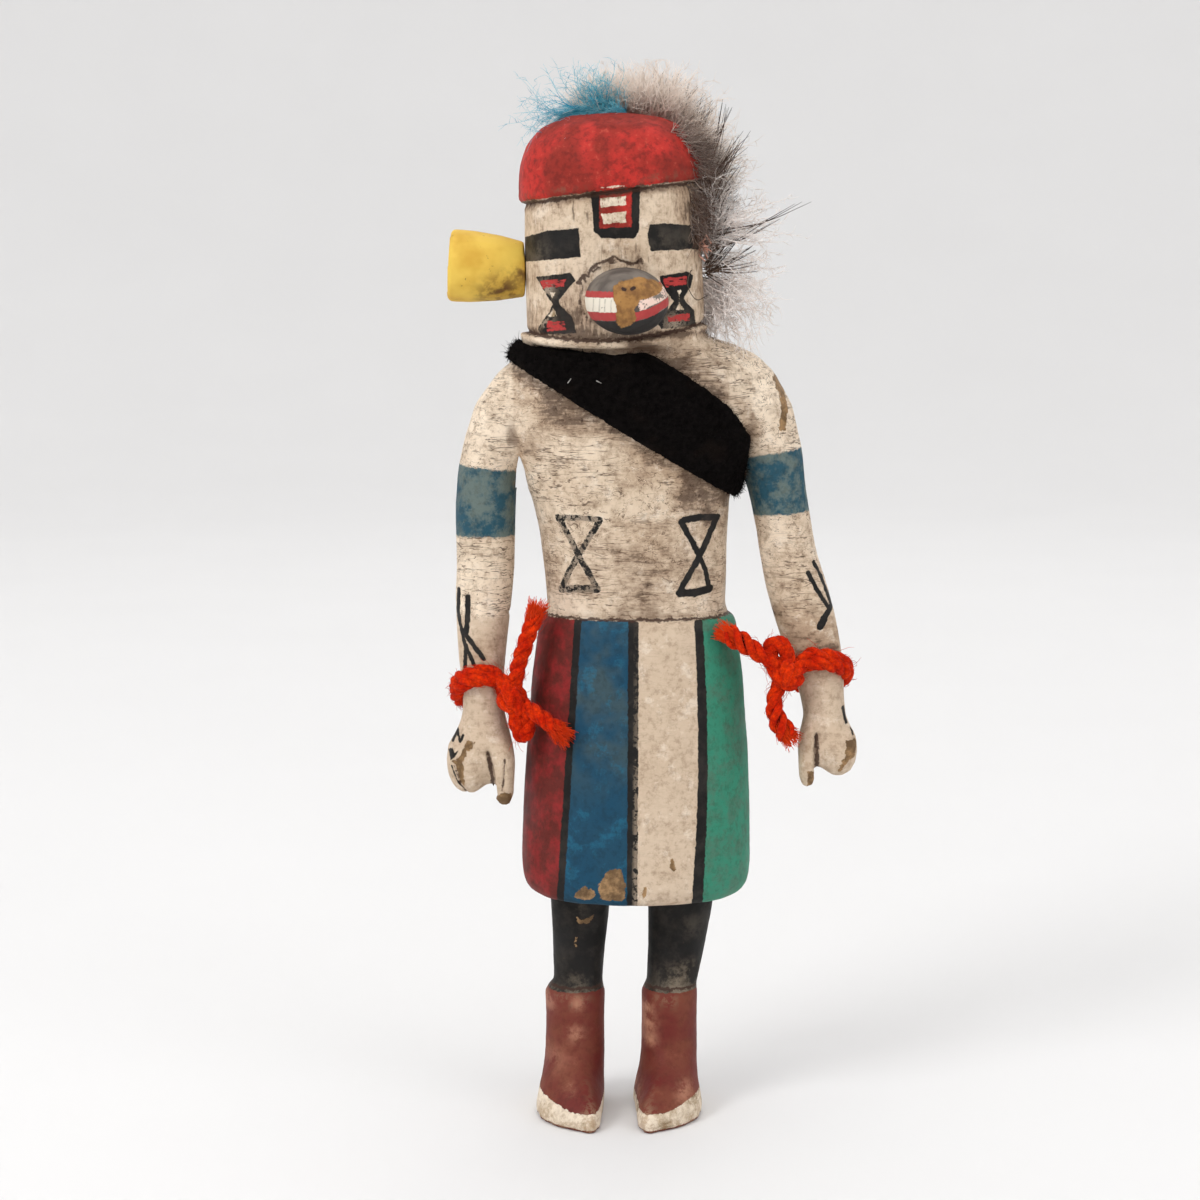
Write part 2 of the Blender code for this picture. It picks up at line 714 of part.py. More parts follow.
def stand_on_origin(pieces, yarns):
    """Moves the empty that carries the doll, so that its box, without the yarn, is centred over the origin."""
    bpy.context.view_layer.update()
    graph = bpy.context.evaluated_depsgraph_get()
    corners = []
    for piece in pieces:
        if piece not in yarns:
            corners += [Vector(c) for c in piece.evaluated_get(graph).bound_box]
    low = [min(c[i] for c in corners) for i in range(3)]
    high = [max(c[i] for c in corners) for i in range(3)]
    doll = bpy.data.objects.new("doll", None)
    bpy.context.scene.collection.objects.link(doll)
    for piece in pieces:
        piece.parent = doll
    doll.location = (-(low[0] + high[0]) / 2, -(low[1] + high[1]) / 2, -low[2])


def main():
    clear_scene()
    figure = make_figure(paint("painted_cottonwood", COTTONWOOD, 0.75))
    cutter = clearance_cutter(figure)
    yarn = paint("red_yarn", RED_YARN, 0.9)
    fur = paint("grey_fur", GREY_FUR, 0.9)
    blue = paint("blue_down", BLUE_DOWN, 0.9)
    pale = paint("pale_down", PALE_DOWN, 0.9)
    ties = [
        make_tie("wrist_yarn_right", RIGHT_TIE, cutter, yarn),
        make_tie("wrist_yarn_left", LEFT_TIE, cutter, yarn),
    ]
    pieces = [
        figure,
        make_snout(cutter, paint("snout_paint", SNOUT_PAINT, 0.7)),
        make_ear(cutter, paint("yellow_paint", YELLOW_PAINT, 0.7)),
        make_strap(cutter, paint("black_wool", BLACK_WOOL, 0.95)),
        make_plumage("crown_fur", [CROWN_FUR], FUR_DEPTH, cutter, fur),
        make_plumage("blue_feather", BLUE_PLUMES, PLUME_THICKNESS, cutter, blue),
        make_plumage("side_feathers", SIDE_PLUMES, PLUME_THICKNESS, cutter, pale),
        *ties,
    ]
    stand_on_origin(pieces + [cutter], ties + [cutter])


main()
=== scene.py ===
import math
import random

import bmesh
import bpy
import numpy as np
from mathutils import Matrix, Vector, noise


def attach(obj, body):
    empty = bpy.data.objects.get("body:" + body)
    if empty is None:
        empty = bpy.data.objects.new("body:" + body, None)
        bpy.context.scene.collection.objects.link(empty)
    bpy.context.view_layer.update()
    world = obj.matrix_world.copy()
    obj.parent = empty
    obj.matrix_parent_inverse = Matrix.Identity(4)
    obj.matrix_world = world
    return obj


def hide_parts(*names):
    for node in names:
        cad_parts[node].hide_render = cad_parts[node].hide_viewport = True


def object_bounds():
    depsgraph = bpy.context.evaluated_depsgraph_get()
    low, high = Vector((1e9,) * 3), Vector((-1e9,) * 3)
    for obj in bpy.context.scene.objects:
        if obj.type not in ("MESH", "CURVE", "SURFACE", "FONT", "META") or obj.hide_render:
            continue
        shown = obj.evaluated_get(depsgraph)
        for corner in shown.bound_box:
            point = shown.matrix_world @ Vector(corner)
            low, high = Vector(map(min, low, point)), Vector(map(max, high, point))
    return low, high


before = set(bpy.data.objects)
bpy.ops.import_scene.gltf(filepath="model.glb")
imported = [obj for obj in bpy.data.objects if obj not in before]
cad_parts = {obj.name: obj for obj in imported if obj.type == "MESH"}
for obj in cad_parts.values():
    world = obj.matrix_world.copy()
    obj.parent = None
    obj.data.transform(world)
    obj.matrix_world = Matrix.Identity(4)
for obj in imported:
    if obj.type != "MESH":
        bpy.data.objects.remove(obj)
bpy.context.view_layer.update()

mm = 0.001
# The carver's drawing has its origin between the boots. The frame is centred under the doll.
drawingShift = Vector((-6.003, 8.202, 0.0))
print("frame loaded")


def place(x, y, z):
    return (Vector((x, y, z)) + drawingShift) * mm


def tint(red, green, blue):
    # sRGB values out of 255 to the linear colour that a shader takes
    def linear(v):
        v = v / 255
        return v / 12.92 if v <= 0.04045 else ((v + 0.055) / 1.055) ** 2.4
    return (linear(red), linear(green), linear(blue), 1.0)


# the camera, from the photo's viewpoint

camera = {"at": (-0.0132, -0.6858, 0.2249), "tip": 82.5, "lens": 81.9, "sensor": 36}
cameraData = bpy.data.cameras.new("camera")
cameraData.lens = camera["lens"]
cameraData.sensor_width = camera["sensor"]
cameraObject = bpy.data.objects.new("camera", cameraData)
cameraObject.location = camera["at"]
cameraObject.rotation_euler = (math.radians(camera["tip"]), 0, 0)
bpy.context.scene.collection.objects.link(cameraObject)
bpy.context.scene.camera = cameraObject


# tools for meshes

def selectOnly(piece):
    bpy.ops.object.select_all(action="DESELECT")
    piece.select_set(True)
    bpy.context.view_layer.objects.active = piece


def applyAll(piece):
    selectOnly(piece)
    for modifier in list(piece.modifiers):
        bpy.ops.object.modifier_apply(modifier=modifier.name)


def newPiece(name, points, faces, material):
    mesh = bpy.data.meshes.new(name)
    mesh.from_pydata([tuple(p) for p in points], [], faces)
    mesh.update()
    piece = bpy.data.objects.new(name, mesh)
    bpy.context.scene.collection.objects.link(piece)
    mesh.materials.append(material)
    mesh.polygons.foreach_set("use_smooth", [True] * len(mesh.polygons))
    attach(piece, "root")
    return piece


def finerCopy(node, name, grain, rounds, material):
    # the CAD solid again, with a finer and softer skin
    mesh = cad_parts[node].data.copy()
    mesh.name = name
    piece = bpy.data.objects.new(name, mesh)
    bpy.context.scene.collection.objects.link(piece)
    selectOnly(piece)
    bpy.ops.object.mode_set(mode="EDIT")
    bpy.ops.mesh.select_all(action="SELECT")
    bpy.ops.mesh.remove_doubles(threshold=0.00001)
    bpy.ops.object.mode_set(mode="OBJECT")
    skin = piece.modifiers.new("skin", "REMESH")
    skin.mode = "VOXEL"
    skin.voxel_size = grain
    soft = piece.modifiers.new("soft", "SMOOTH")
    soft.iterations = rounds
    soft.factor = 0.5
    applyAll(piece)
    mesh = piece.data
    mesh.materials.clear()
    mesh.materials.append(material)
    mesh.polygons.foreach_set("use_smooth", [True] * len(mesh.polygons))
    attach(piece, "root")
    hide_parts(node)
    return piece


def meshPoints(mesh):
    flat = np.zeros(len(mesh.vertices) * 3, np.float64)
    mesh.vertices.foreach_get("co", flat)
    return flat.reshape(-1, 3)


def setPoints(mesh, points):
    mesh.vertices.foreach_set("co", points.astype(np.float32).ravel())
    mesh.update()


def meshNormals(mesh):
    flat = np.zeros(len(mesh.vertices) * 3, np.float32)
    mesh.vertex_normals.foreach_get("vector", flat)
    return flat.reshape(-1, 3).astype(np.float64)


def drawn(mesh):
    # the mesh's points in the drawing's millimetres
    return meshPoints(mesh) / mm - np.array(drawingShift)


def keep(mesh, name, values):
    # a number for each point, which the material reads
    attribute = mesh.attributes.new(name, "FLOAT", "POINT")
    attribute.data.foreach_set("value", np.asarray(values, np.float32))


def refine(piece, wanted, longest):
    # splits the edges that are longer than longest, where both ends are among the wanted points
    bm = bmesh.new()
    bm.from_mesh(piece.data)
    bmesh.ops.triangulate(bm, faces=bm.faces)
    bm.verts.index_update()
    marked = wanted(np.array([v.co for v in bm.verts]) / mm - np.array(drawingShift))
    edges = [e for e in bm.edges
             if marked[e.verts[0].index] and marked[e.verts[1].index] and e.calc_length() > longest]
    bmesh.ops.subdivide_edges(bm, edges=edges, cuts=1, use_grid_fill=True)
    bmesh.ops.triangulate(bm, faces=[f for f in bm.faces if len(f.verts) > 3])
    bm.to_mesh(piece.data)
    bm.free()


def hollows(mesh):
    # how deep each point lies between its neighbours, in millimetres
    spreading, softening = 6, 3
    points = meshPoints(mesh)
    normals = meshNormals(mesh)
    ends = np.zeros(len(mesh.edges) * 2, np.int64)
    mesh.edges.foreach_get("vertices", ends)
    a, b = ends[0::2], ends[1::2]
    count = np.bincount(np.concatenate([a, b]), minlength=len(points)).clip(1)

    def around(values):
        total = np.zeros_like(values)
        np.add.at(total, a, values[b])
        np.add.at(total, b, values[a])
        return total / (count[:, None] if values.ndim > 1 else count)

    spread = points
    for _ in range(spreading):
        spread = around(spread)
    depth = ((spread - points) * normals).sum(1) / mm
    for _ in range(softening):
        depth = around(depth)
    print(mesh.name, "hollows", np.percentile(depth, (2, 25, 75, 98)).round(3))
    return depth


# tools for drawing marks: distances in millimetres in the front view, negative inside

def segmentDistance(x, z, start, end):
    ax, az = start
    bx, bz = end
    run = max((bx - ax) ** 2 + (bz - az) ** 2, 1e-9)
    share = (((x - ax) * (bx - ax) + (z - az) * (bz - az)) / run).clip(0, 1)
    return np.hypot(x - ax - share * (bx - ax), z - az - share * (bz - az))


def stroke(p, width, *route):
    nearest = np.full(len(p), 99.0)
    for start, end in zip(route, route[1:]):
        nearest = np.minimum(nearest, segmentDistance(p[:, 0], p[:, 2], start, end))
    return nearest - width / 2


def area(p, *corners):
    x, z = p[:, 0], p[:, 2]
    nearest = np.full(len(p), 99.0)
    inside = np.zeros(len(p), bool)
    for start, end in zip(corners, corners[1:] + corners[:1]):
        nearest = np.minimum(nearest, segmentDistance(x, z, start, end))
        crosses = (start[1] > z) != (end[1] > z)
        rise = end[1] - start[1]
        at = start[0] + (z - start[1]) * (end[0] - start[0]) / (rise if rise else 1e-9)
        inside ^= crosses & (x < at)
    return np.where(inside, -nearest, nearest)


def between(values, low, high):
    # distance outside a range of one value
    return np.maximum(low - values, values - high)


def within(*distances):
    return np.maximum.reduce(distances)


def anyOf(*distances):
    return np.minimum.reduce(distances)


def blot(p, x, z, reach):
    # a soft round spot, 1 at its middle
    return np.exp(-((p[:, 0] - x) ** 2 + (p[:, 2] - z) ** 2) / reach ** 2)


def blots(p, spots):
    # spots are x, z, reach and strength
    return sum(strength * blot(p, x, z, reach) for x, z, reach, strength in spots)


# tools for materials

class Finish:
    # builds one node material, with short names for the nodes used again and again

    def __init__(self, name):
        self.material = bpy.data.materials.new(name)
        self.material.use_nodes = True
        self.tree = self.material.node_tree
        self.tree.nodes.clear()
        self.out = self.tree.nodes.new("ShaderNodeOutputMaterial")
        self.shader = self.tree.nodes.new("ShaderNodeBsdfPrincipled")
        self.tree.links.new(self.shader.outputs[0], self.out.inputs[0])
        self.place = self.node("ShaderNodeTexCoord").outputs["Object"]

    def node(self, kind, **settings):
        made = self.tree.nodes.new(kind)
        for name, value in settings.items():
            setattr(made, name, value)
        return made

    def feed(self, socket, value):
        if isinstance(value, bpy.types.NodeSocket):
            self.tree.links.new(value, socket)
        elif value is not None:
            socket.default_value = value

    def sum(self, operation, a, b=None, c=None, clamp=False):
        made = self.node("ShaderNodeMath", operation=operation, use_clamp=clamp)
        for socket, value in zip(made.inputs, (a, b, c)):
            self.feed(socket, value)
        return made.outputs[0]

    def mix(self, share, a, b, blend="MIX"):
        made = self.node("ShaderNodeMix", data_type="RGBA", blend_type=blend)
        self.feed(made.inputs[0], share)
        self.feed(made.inputs[6], a)
        self.feed(made.inputs[7], b)
        return made.outputs[2]

    def stretched(self, x, y, z):
        made = self.node("ShaderNodeMapping")
        self.feed(made.inputs["Vector"], self.place)
        made.inputs["Scale"].default_value = (x, y, z)
        return made.outputs[0]

    def cloud(self, size, detail=3, rough=0.55, vector=None, twist=0.0):
        # noise whose blobs are about size millimetres across
        made = self.node("ShaderNodeTexNoise")
        self.feed(made.inputs["Vector"], vector or self.place)
        made.inputs["Scale"].default_value = 1000 / size / 2 if vector is None else 1.0
        made.inputs["Detail"].default_value = detail
        made.inputs["Roughness"].default_value = rough
        made.inputs["Distortion"].default_value = twist
        return made.outputs["Fac"]

    def ramp(self, value, low, high, to=(0.0, 1.0)):
        made = self.node("ShaderNodeMapRange", interpolation_type="SMOOTHSTEP")
        self.feed(made.inputs[0], value)
        for index, number in zip((1, 2, 3, 4), (low, high, to[0], to[1])):
            self.feed(made.inputs[index], number)
        return made.outputs[0]

    def kept(self, name):
        made = self.node("ShaderNodeAttribute")
        made.attribute_name = name
        return made.outputs["Fac"]

    def bump(self, height, strength, distance):
        made = self.node("ShaderNodeBump")
        self.feed(made.inputs["Height"], height)
        made.inputs["Strength"].default_value = strength
        made.inputs["Distance"].default_value = distance * mm
        return made.outputs[0]

    def done(self, colour, rough, normal=None, sheen=0.0, shine=0.3):
        self.feed(self.shader.inputs["Base Color"], colour)
        self.feed(self.shader.inputs["Roughness"], rough)
        self.shader.inputs["Specular IOR Level"].default_value = shine
        self.shader.inputs["Sheen Weight"].default_value = sheen
        if normal is not None:
            self.feed(self.shader.inputs["Normal"], normal)
        return self.material


# the yarn at the wrists: a real cord, tied, with frayed ends

yarnDiameter = 0.0035
yarnPlies = 3
yarnBuild = {
    # metres: between points along it, for one full twist of the plies, and from an end unlaid or tapered
    "step": 0.0007, "twist": 0.0105, "unlaid": 0.010, "taper": 0.005,
    # shares of the diameter: from the middle to a ply, and a ply's radius
    "offset": 0.27, "ply": 0.33,
    # fibres along it, and in the brush at each end
    "fuzz": 1500, "brush": 420,
}
knotLoops = (
    # axis, radius and place along the axis in millimetres
    ((0.9, -0.5, 0.3), 2.5, 0.6), ((-0.3, -0.6, 0.9), 2.3, -0.8), ((0.5, -0.9, -0.5), 2.0, 0.0),
)


def smoothRoute(points, steps):
    # a Catmull-Rom curve through the points
    dense = []
    ends = [points[0] * 2 - points[1]] + list(points) + [points[-1] * 2 - points[-2]]
    for a, b, c, d in zip(ends, ends[1:], ends[2:], ends[3:]):
        for k in range(steps):
            t = k / steps
            dense.append(0.5 * (2 * b + (c - a) * t + (2 * a - 5 * b + 4 * c - d) * t * t
                                + (3 * b - 3 * c + d - a) * t ** 3))
    dense.append(points[-1].copy())
    return dense


def routeFrames(route):
    # a direction and two crosswise axes at each point, carried along without spinning
    frames = []
    side = None
    for k, point in enumerate(route):
        along = (route[min(k + 1, len(route) - 1)] - route[max(k - 1, 0)]).normalized()
        if side is None:
            side = along.orthogonal().normalized()
        side = (side - along * side.dot(along)).normalized()
        frames.append((point, along, side, along.cross(side)))
    return frames


def addTube(points, faces, route, radii, sides):
    # a tube along the route, closed by a flat face at each end
    first = len(points)
    frames = routeFrames(route)
    for (centre, _, side, up), radius in zip(frames, radii):
        for i in range(sides):
            turn = 2 * math.pi * i / sides
            points.append(centre + (side * math.cos(turn) + up * math.sin(turn)) * radius)
    for k in range(len(route) - 1):
        for i in range(sides):
            a = first + k * sides + i
            b = first + k * sides + (i + 1) % sides
            faces.append((a, b, b + sides, a + sides))
    last = first + (len(route) - 1) * sides
    faces.append(tuple(range(first + sides - 1, first - 1, -1)))
    faces.append(tuple(range(last, last + sides)))


def yarnRoute(tie):
    # one end, two turns round the wrist, the knot, the loop and the other end
    tip, loop, tail = tie["ends"]
    knot = Vector(tie["knot"])
    wrist = Vector(tie["wrist"])
    half = yarnDiameter / mm / 2
    lean = Matrix.Rotation(math.radians(-tie["tilt"]), 3, "X")
    halfX, halfY = (h + half for h in tie["halves"])
    halfY = halfY / math.cos(math.radians(tie["tilt"]))
    start = tie["startsAt"]
    turns = []
    steps = 26
    for k in range(steps + 1):
        share = k / steps
        turn = math.radians(start) + share * 2 * math.pi * tie["turns"] * tie["way"]
        level = (share - 0.5) * tie["rise"]
        turns.append(wrist + lean @ Vector((halfX * math.cos(turn), halfY * math.sin(turn), level)))
    route = [Vector(p) for p in reversed(tip)]
    route.append(knot + Vector(tie["under"]))
    route += turns
    route.append(knot + Vector(tie["over"]))
    route += [Vector(p) for p in loop]
    route.append(knot + Vector(tie["across"]))
    route += [Vector(p) for p in tail]
    return route


def makeYarn(name, tie, material):
    route = smoothRoute([place(*p) for p in yarnRoute(tie)], 5)
    lengths = [(b - a).length for a, b in zip(route, route[1:])]
    total = sum(lengths)
    # evenly spaced points, so that the plies twist evenly
    steps = int(total / yarnBuild["step"])
    even, at, walked = [], 0, 0.0
    for k in range(steps + 1):
        want = total * k / steps
        while at < len(lengths) - 1 and walked + lengths[at] < want:
            walked += lengths[at]
            at += 1
        even.append(route[at].lerp(route[at + 1], min(1, (want - walked) / max(lengths[at], 1e-9))))
    frames = routeFrames(even)
    points, faces = [], []
    twist = 2 * math.pi / yarnBuild["twist"]
    for ply in range(yarnPlies):
        strand, radii = [], []
        for k, (centre, _, side, up) in enumerate(frames):
            share = k / steps
            turn = 2 * math.pi * ply / yarnPlies + twist * total * share
            toEnd = min(share, 1 - share) * total
            unlaid = tie["loosened"] * max(0.0, 1 - toEnd / yarnBuild["unlaid"])
            loosened = 1 + 0.3 * noise.noise(Vector((share * 40, ply * 5.0, tie["knot"][0]))) + unlaid
            out = yarnDiameter * yarnBuild["offset"] * loosened
            strand.append(centre + (side * math.cos(turn) + up * math.sin(turn)) * out)
            taper = min(1.0, 0.45 + toEnd / yarnBuild["taper"]) * (1 - 0.15 * min(1.0, unlaid))
            lumpy = 1 + 0.16 * noise.noise(Vector((share * 110, ply, 3.0)))
            radii.append(yarnDiameter * yarnBuild["ply"] * taper * lumpy)
        addTube(points, faces, strand, radii, 8)
    return newPiece(name, points, faces, material), even, total


def makeKnot(name, tie, material):
    # the turns of the knot itself, drawn tight round the place where the ends cross
    knot = Vector(tie["knot"]) + Vector((0.2, -1.0, 0))
    points, faces = [], []
    for axis, size, tip in knotLoops:
        across = Vector(axis).normalized()
        a = across.orthogonal().normalized()
        b = across.cross(a)
        steps = 30
        loop = [knot + across * (tip + 0.7 * math.sin(2 * math.pi * k / steps)) +
                (a * math.cos(2 * math.pi * k / steps) + b * math.sin(2 * math.pi * k / steps)) * size
                for k in range(steps + 2)]
        loop = [place(*p) for p in loop]
        frames = routeFrames(loop)
        for ply in range(yarnPlies):
            strand = []
            for k, (centre, _, side, up) in enumerate(frames):
                turn = 2 * math.pi * (ply / yarnPlies + k / steps * 1.5)
                strand.append(centre + (side * math.cos(turn) + up * math.sin(turn)) * yarnDiameter * 0.24)
            addTube(points, faces, strand, [yarnDiameter * 0.3] * len(strand), 7)
    return newPiece(name, points, faces, material)


def addStrand(points, faces, route, root, tip):
    # a hair or fibre: three-sided, thinning to its tip
    count = len(route)
    addTube(points, faces, route, [root + (tip - root) * k / (count - 1) for k in range(count)], 3)


def randomDirection(chance):
    while True:
        v = Vector((chance.uniform(-1, 1), chance.uniform(-1, 1), chance.uniform(-1, 1)))
        if 0.05 < v.length < 1:
            return v.normalized()


def makeYarnFuzz(name, even, material):
    # loose wool fibres that stand off the yarn, and the frayed brush at each end
    chance = random.Random(name)
    frames = routeFrames(even)
    points, faces = [], []
    for _ in range(yarnBuild["fuzz"]):
        centre, along, side, up = frames[chance.randrange(4, len(frames) - 4)]
        turn = chance.uniform(0, 2 * math.pi)
        out = side * math.cos(turn) + up * math.sin(turn)
        sideways = along * chance.choice((-1, 1))
        reach = chance.uniform(0.0005, 0.0017) * (2.0 if chance.random() < 0.12 else 1)
        curl = randomDirection(chance) * 0.5
        route = []
        for k in range(4):
            share = k / 3
            route.append(centre + out * (yarnDiameter * 0.42 + reach * 0.6 * math.sin(share * 2.2))
                         + sideways * reach * 1.5 * share + curl * reach * share * share)
        addStrand(points, faces, route, 0.00007, 0.00003)
    for start, inward in ((0, 1), (len(frames) - 1, -1)):
        for _ in range(yarnBuild["brush"]):
            centre, along, side, up = frames[start + inward * chance.randrange(0, 6)]
            outward = along * -inward
            turn = chance.uniform(0, 2 * math.pi)
            offset = (side * math.cos(turn) + up * math.sin(turn))
            spread = chance.uniform(0.1, 1.0)
            root = centre - outward * 0.001 + offset * yarnDiameter * 0.5 * chance.random() ** 0.5
            reach = chance.uniform(0.0016, 0.0046)
            route = []
            for k in range(4):
                share = k / 3
                route.append(root + outward * reach * share
                             + offset * reach * 0.45 * spread * share ** 1.5
                             + randomDirection(chance) * 0.00022 * share)
            addStrand(points, faces, route, 0.00013, 0.00006)
    return newPiece(name, points, faces, material)


def woolRed():
    finish = Finish("red_yarn")
    patch = finish.cloud(2.5, 3)
    fine = finish.cloud(0.5, 4, 0.7)
    deep = finish.kept("shade")
    colour = finish.mix(finish.ramp(patch, 0.3, 0.7), tint(208, 36, 4), tint(238, 62, 8))
    colour = finish.mix(finish.ramp(fine, 0.35, 0.7), finish.mix(0.6, colour, tint(110, 10, 4)), colour)
    colour = finish.mix(deep, colour, tint(250, 78, 24))
    return finish.done(colour, 0.95, finish.bump(fine, 0.8, 0.3), sheen=0.03, shine=0.06)


rightTie = {
    "wrist": (-36.9, -6.9, 111.2), "halves": (4.9, 6.4), "tilt": 29, "knot": (-29.6, -14.0, 110.7),
    "ends": (
        ((-29.0, -14.6, 112.6), (-27.6, -16.0, 119.4), (-25.2, -16.8, 127.0), (-23.2, -16.8, 133.0)),
        ((-28.6, -14.4, 109.0), (-28.2, -16.4, 103.6), (-26.4, -16.6, 100.9), (-25.6, -16.2, 106.0)),
        ((-27.4, -15.0, 109.6), (-23.2, -17.8, 107.0), (-19.4, -19.2, 104.4), (-16.6, -20.4, 102.4)),
    ),
    "under": (-0.6, 1.6, -0.6), "over": (0.4, -3.2, 1.0), "across": (-1.4, -2.8, 1.6),
    "startsAt": -40, "turns": 1.93, "way": 1, "rise": 3.3, "loosened": 0.25,
}
leftTie = {
    "wrist": (48.2, -6.4, 115.8), "halves": (5.5, 6.6), "tilt": 25, "knot": (39.8, -14.6, 116.7),
    "ends": (
        ((38.6, -15.0, 118.4), (33.6, -17.0, 121.6), (29.4, -16.6, 124.4), (24.6, -15.4, 127.2)),
        ((40.0, -14.8, 118.0), (39.4, -16.0, 123.4), (36.2, -15.8, 124.6), (35.8, -15.4, 119.6)),
        ((38.2, -15.2, 114.6), (36.6, -16.8, 110.0), (37.6, -17.4, 105.0), (40.2, -17.2, 101.4)),
    ),
    "under": (0.6, 1.6, -0.6), "over": (0.4, -3.2, -1.0), "across": (-1.2, -2.8, -1.6),
    "startsAt": 220, "turns": 1.93, "way": -1, "rise": 3.3, "loosened": 1.5,
}


def tieYarn(nodeName, tie, material):
    # one wrist's yarn with its knot and its fuzz
    yarn, even, total = makeYarn(nodeName + "_plied", tie, material)
    keep(yarn.data, "shade", np.zeros(len(yarn.data.vertices)))
    knot = makeKnot(nodeName + "_knot", tie, material)
    keep(knot.data, "shade", np.zeros(len(knot.data.vertices)))
    fuzz = makeYarnFuzz(nodeName + "_fuzz", even, material)
    # the brush at each end is paler than the rest
    ends = np.array([even[0], even[-1]])
    near = np.min([np.linalg.norm(meshPoints(fuzz.data) - e, axis=1) for e in ends], axis=0)
    keep(fuzz.data, "shade", np.clip(1 - (near - 0.0015) / 0.004, 0, 1) * 0.8)
    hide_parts(nodeName)
    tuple(even[0])
    print(nodeName, "yarn length", round(total * 1000, 1), "mm")


redWool = woolRed()
tieYarn("wrist_yarn_right", rightTie, redWool)
tieYarn("wrist_yarn_left", leftTie, redWool)


# the carved figure

levels = {"hem": 57.8, "waist": 130.6, "bootTop": 32.4, "rim": 237.6}
kiltEdges = {
    # where each stripe's edge lies in x, at the waist and at the hem
    "side": (-21.4, -25.9), "maroonEnd": (-13.5, -18.0), "blueStart": (-12.0, -16.5), "blueEnd": (0.0, -0.3),
    "creamStart": (2.3, 2.1), "creamEnd": (16.6, 16.2), "greenStart": (18.4, 18.7),
}
figureSkin = {
    # metres: the skin's grain, and the longest edges near marks and near the narrowest ones
    "grain": 0.0011, "markEdge": 0.00065, "fineEdge": 0.00045,
    # rounds of smoothing
    "softening": 6,
}


def rimLevel(p):
    # the cap's rim is tilted, higher on the doll's left
    return levels["rim"] + 0.124 * (p[:, 0] + 1.5)


def kiltShare(p):
    return ((p[:, 2] - 60) / 70).clip(0, 1)


def kiltSides(p):
    # the region of the kilt, clear of the hands beside it
    inner = np.where(p[:, 2] > 82, -27.9 - 1.2 * kiltShare(p), -33.0)
    return within(between(p[:, 2], levels["hem"] - 1, levels["waist"]), inner - p[:, 0], p[:, 0] - 35)


def kiltLine(p, top, bottom):
    # the place of a stripe's edge at each point's height; the back repeats the front the other way
    across = np.where(p[:, 1] < 1.5, p[:, 0], 4.6 - p[:, 0])
    return across - (bottom + (top - bottom) * kiltShare(p))


def drawForehead(p):
    front = p[:, 1] + 14
    outer = area(p, (-9.0, 239.8), (-7.9, 227.5), (-6.6, 226.2), (0.9, 226.2), (1.6, 228.0),
                 (1.8, 239.8)) - 0.8
    field = area(p, (-7.6, 238.9), (-7.2, 227.9), (0.5, 228.2), (0.7, 239.2))
    bars = anyOf(
        area(p, (-7.2, 235.1), (-0.9, 235.6), (-0.9, 233.5), (-7.0, 232.9)),
        area(p, (-6.9, 231.4), (-0.8, 231.8), (-0.8, 229.3), (-6.5, 228.9)),
        area(p, (-7.2, 237.8), (-1.2, 238.3), (-1.2, 237.9), (-7.2, 237.4)),
    )
    below = p[:, 2] - rimLevel(p)
    return within(outer, front, below), within(field, front, below), within(bars, front)


def drawFace(p):
    front = p[:, 1] + 4
    eyes = anyOf(
        area(p, (-26.5, 225.6), (-20.7, 227.2), (-12.3, 228.0), (-11.9, 220.9), (-24.4, 219.8),
             (-26.5, 219.6)),
        area(p, (4.8, 228.9), (9.5, 229.1), (15.0, 228.6), (20.5, 228.4), (20.5, 222.8), (15.0, 222.8),
             (5.3, 222.3), (4.4, 225.5)),
    )
    left = area(p, (-23.0, 216.0), (-14.4, 217.1), (-13.3, 215.2), (-17.4, 210.3), (-16.9, 209.2),
                (-14.1, 206.4), (-12.9, 202.3), (-22.1, 201.8), (-22.6, 203.4), (-20.0, 206.9),
                (-18.9, 209.4), (-20.6, 212.0))
    right = area(p, (7.3, 216.3), (14.3, 217.4), (15.9, 216.4), (15.1, 213.3), (13.3, 210.7), (16.1, 207.9),
                 (16.7, 203.9), (7.9, 203.3), (7.0, 204.9), (8.5, 207.0), (11.1, 210.1), (8.4, 213.2))
    whites = anyOf(
        area(p, (-19.7, 212.3), (-17.8, 212.5), (-18.9, 210.8)),
        area(p, (-18.7, 208.5), (-17.6, 206.4), (-20.0, 206.4)),
        area(p, (11.7, 212.7), (12.9, 212.7), (12.3, 211.3)),
        area(p, (12.4, 209.8), (13.4, 208.0), (11.4, 208.0)),
        stroke(p, 0.25, (12.3, 212.0), (12.4, 209.0)),
    )
    roses = anyOf(
        area(p, (-22.0, 215.1), (-15.3, 215.6), (-16.2, 213.8), (-21.2, 213.2)),
        area(p, (-20.2, 205.2), (-16.0, 205.2), (-15.5, 203.1), (-20.2, 202.6)),
        area(p, (8.3, 215.8), (14.4, 216.2), (14.0, 214.2), (9.0, 213.5)),
        area(p, (9.3, 206.5), (14.9, 207.2), (14.9, 205.3), (9.7, 205.1)),
    )
    return within(anyOf(eyes, left, right), front), within(whites, front), within(roses, front)


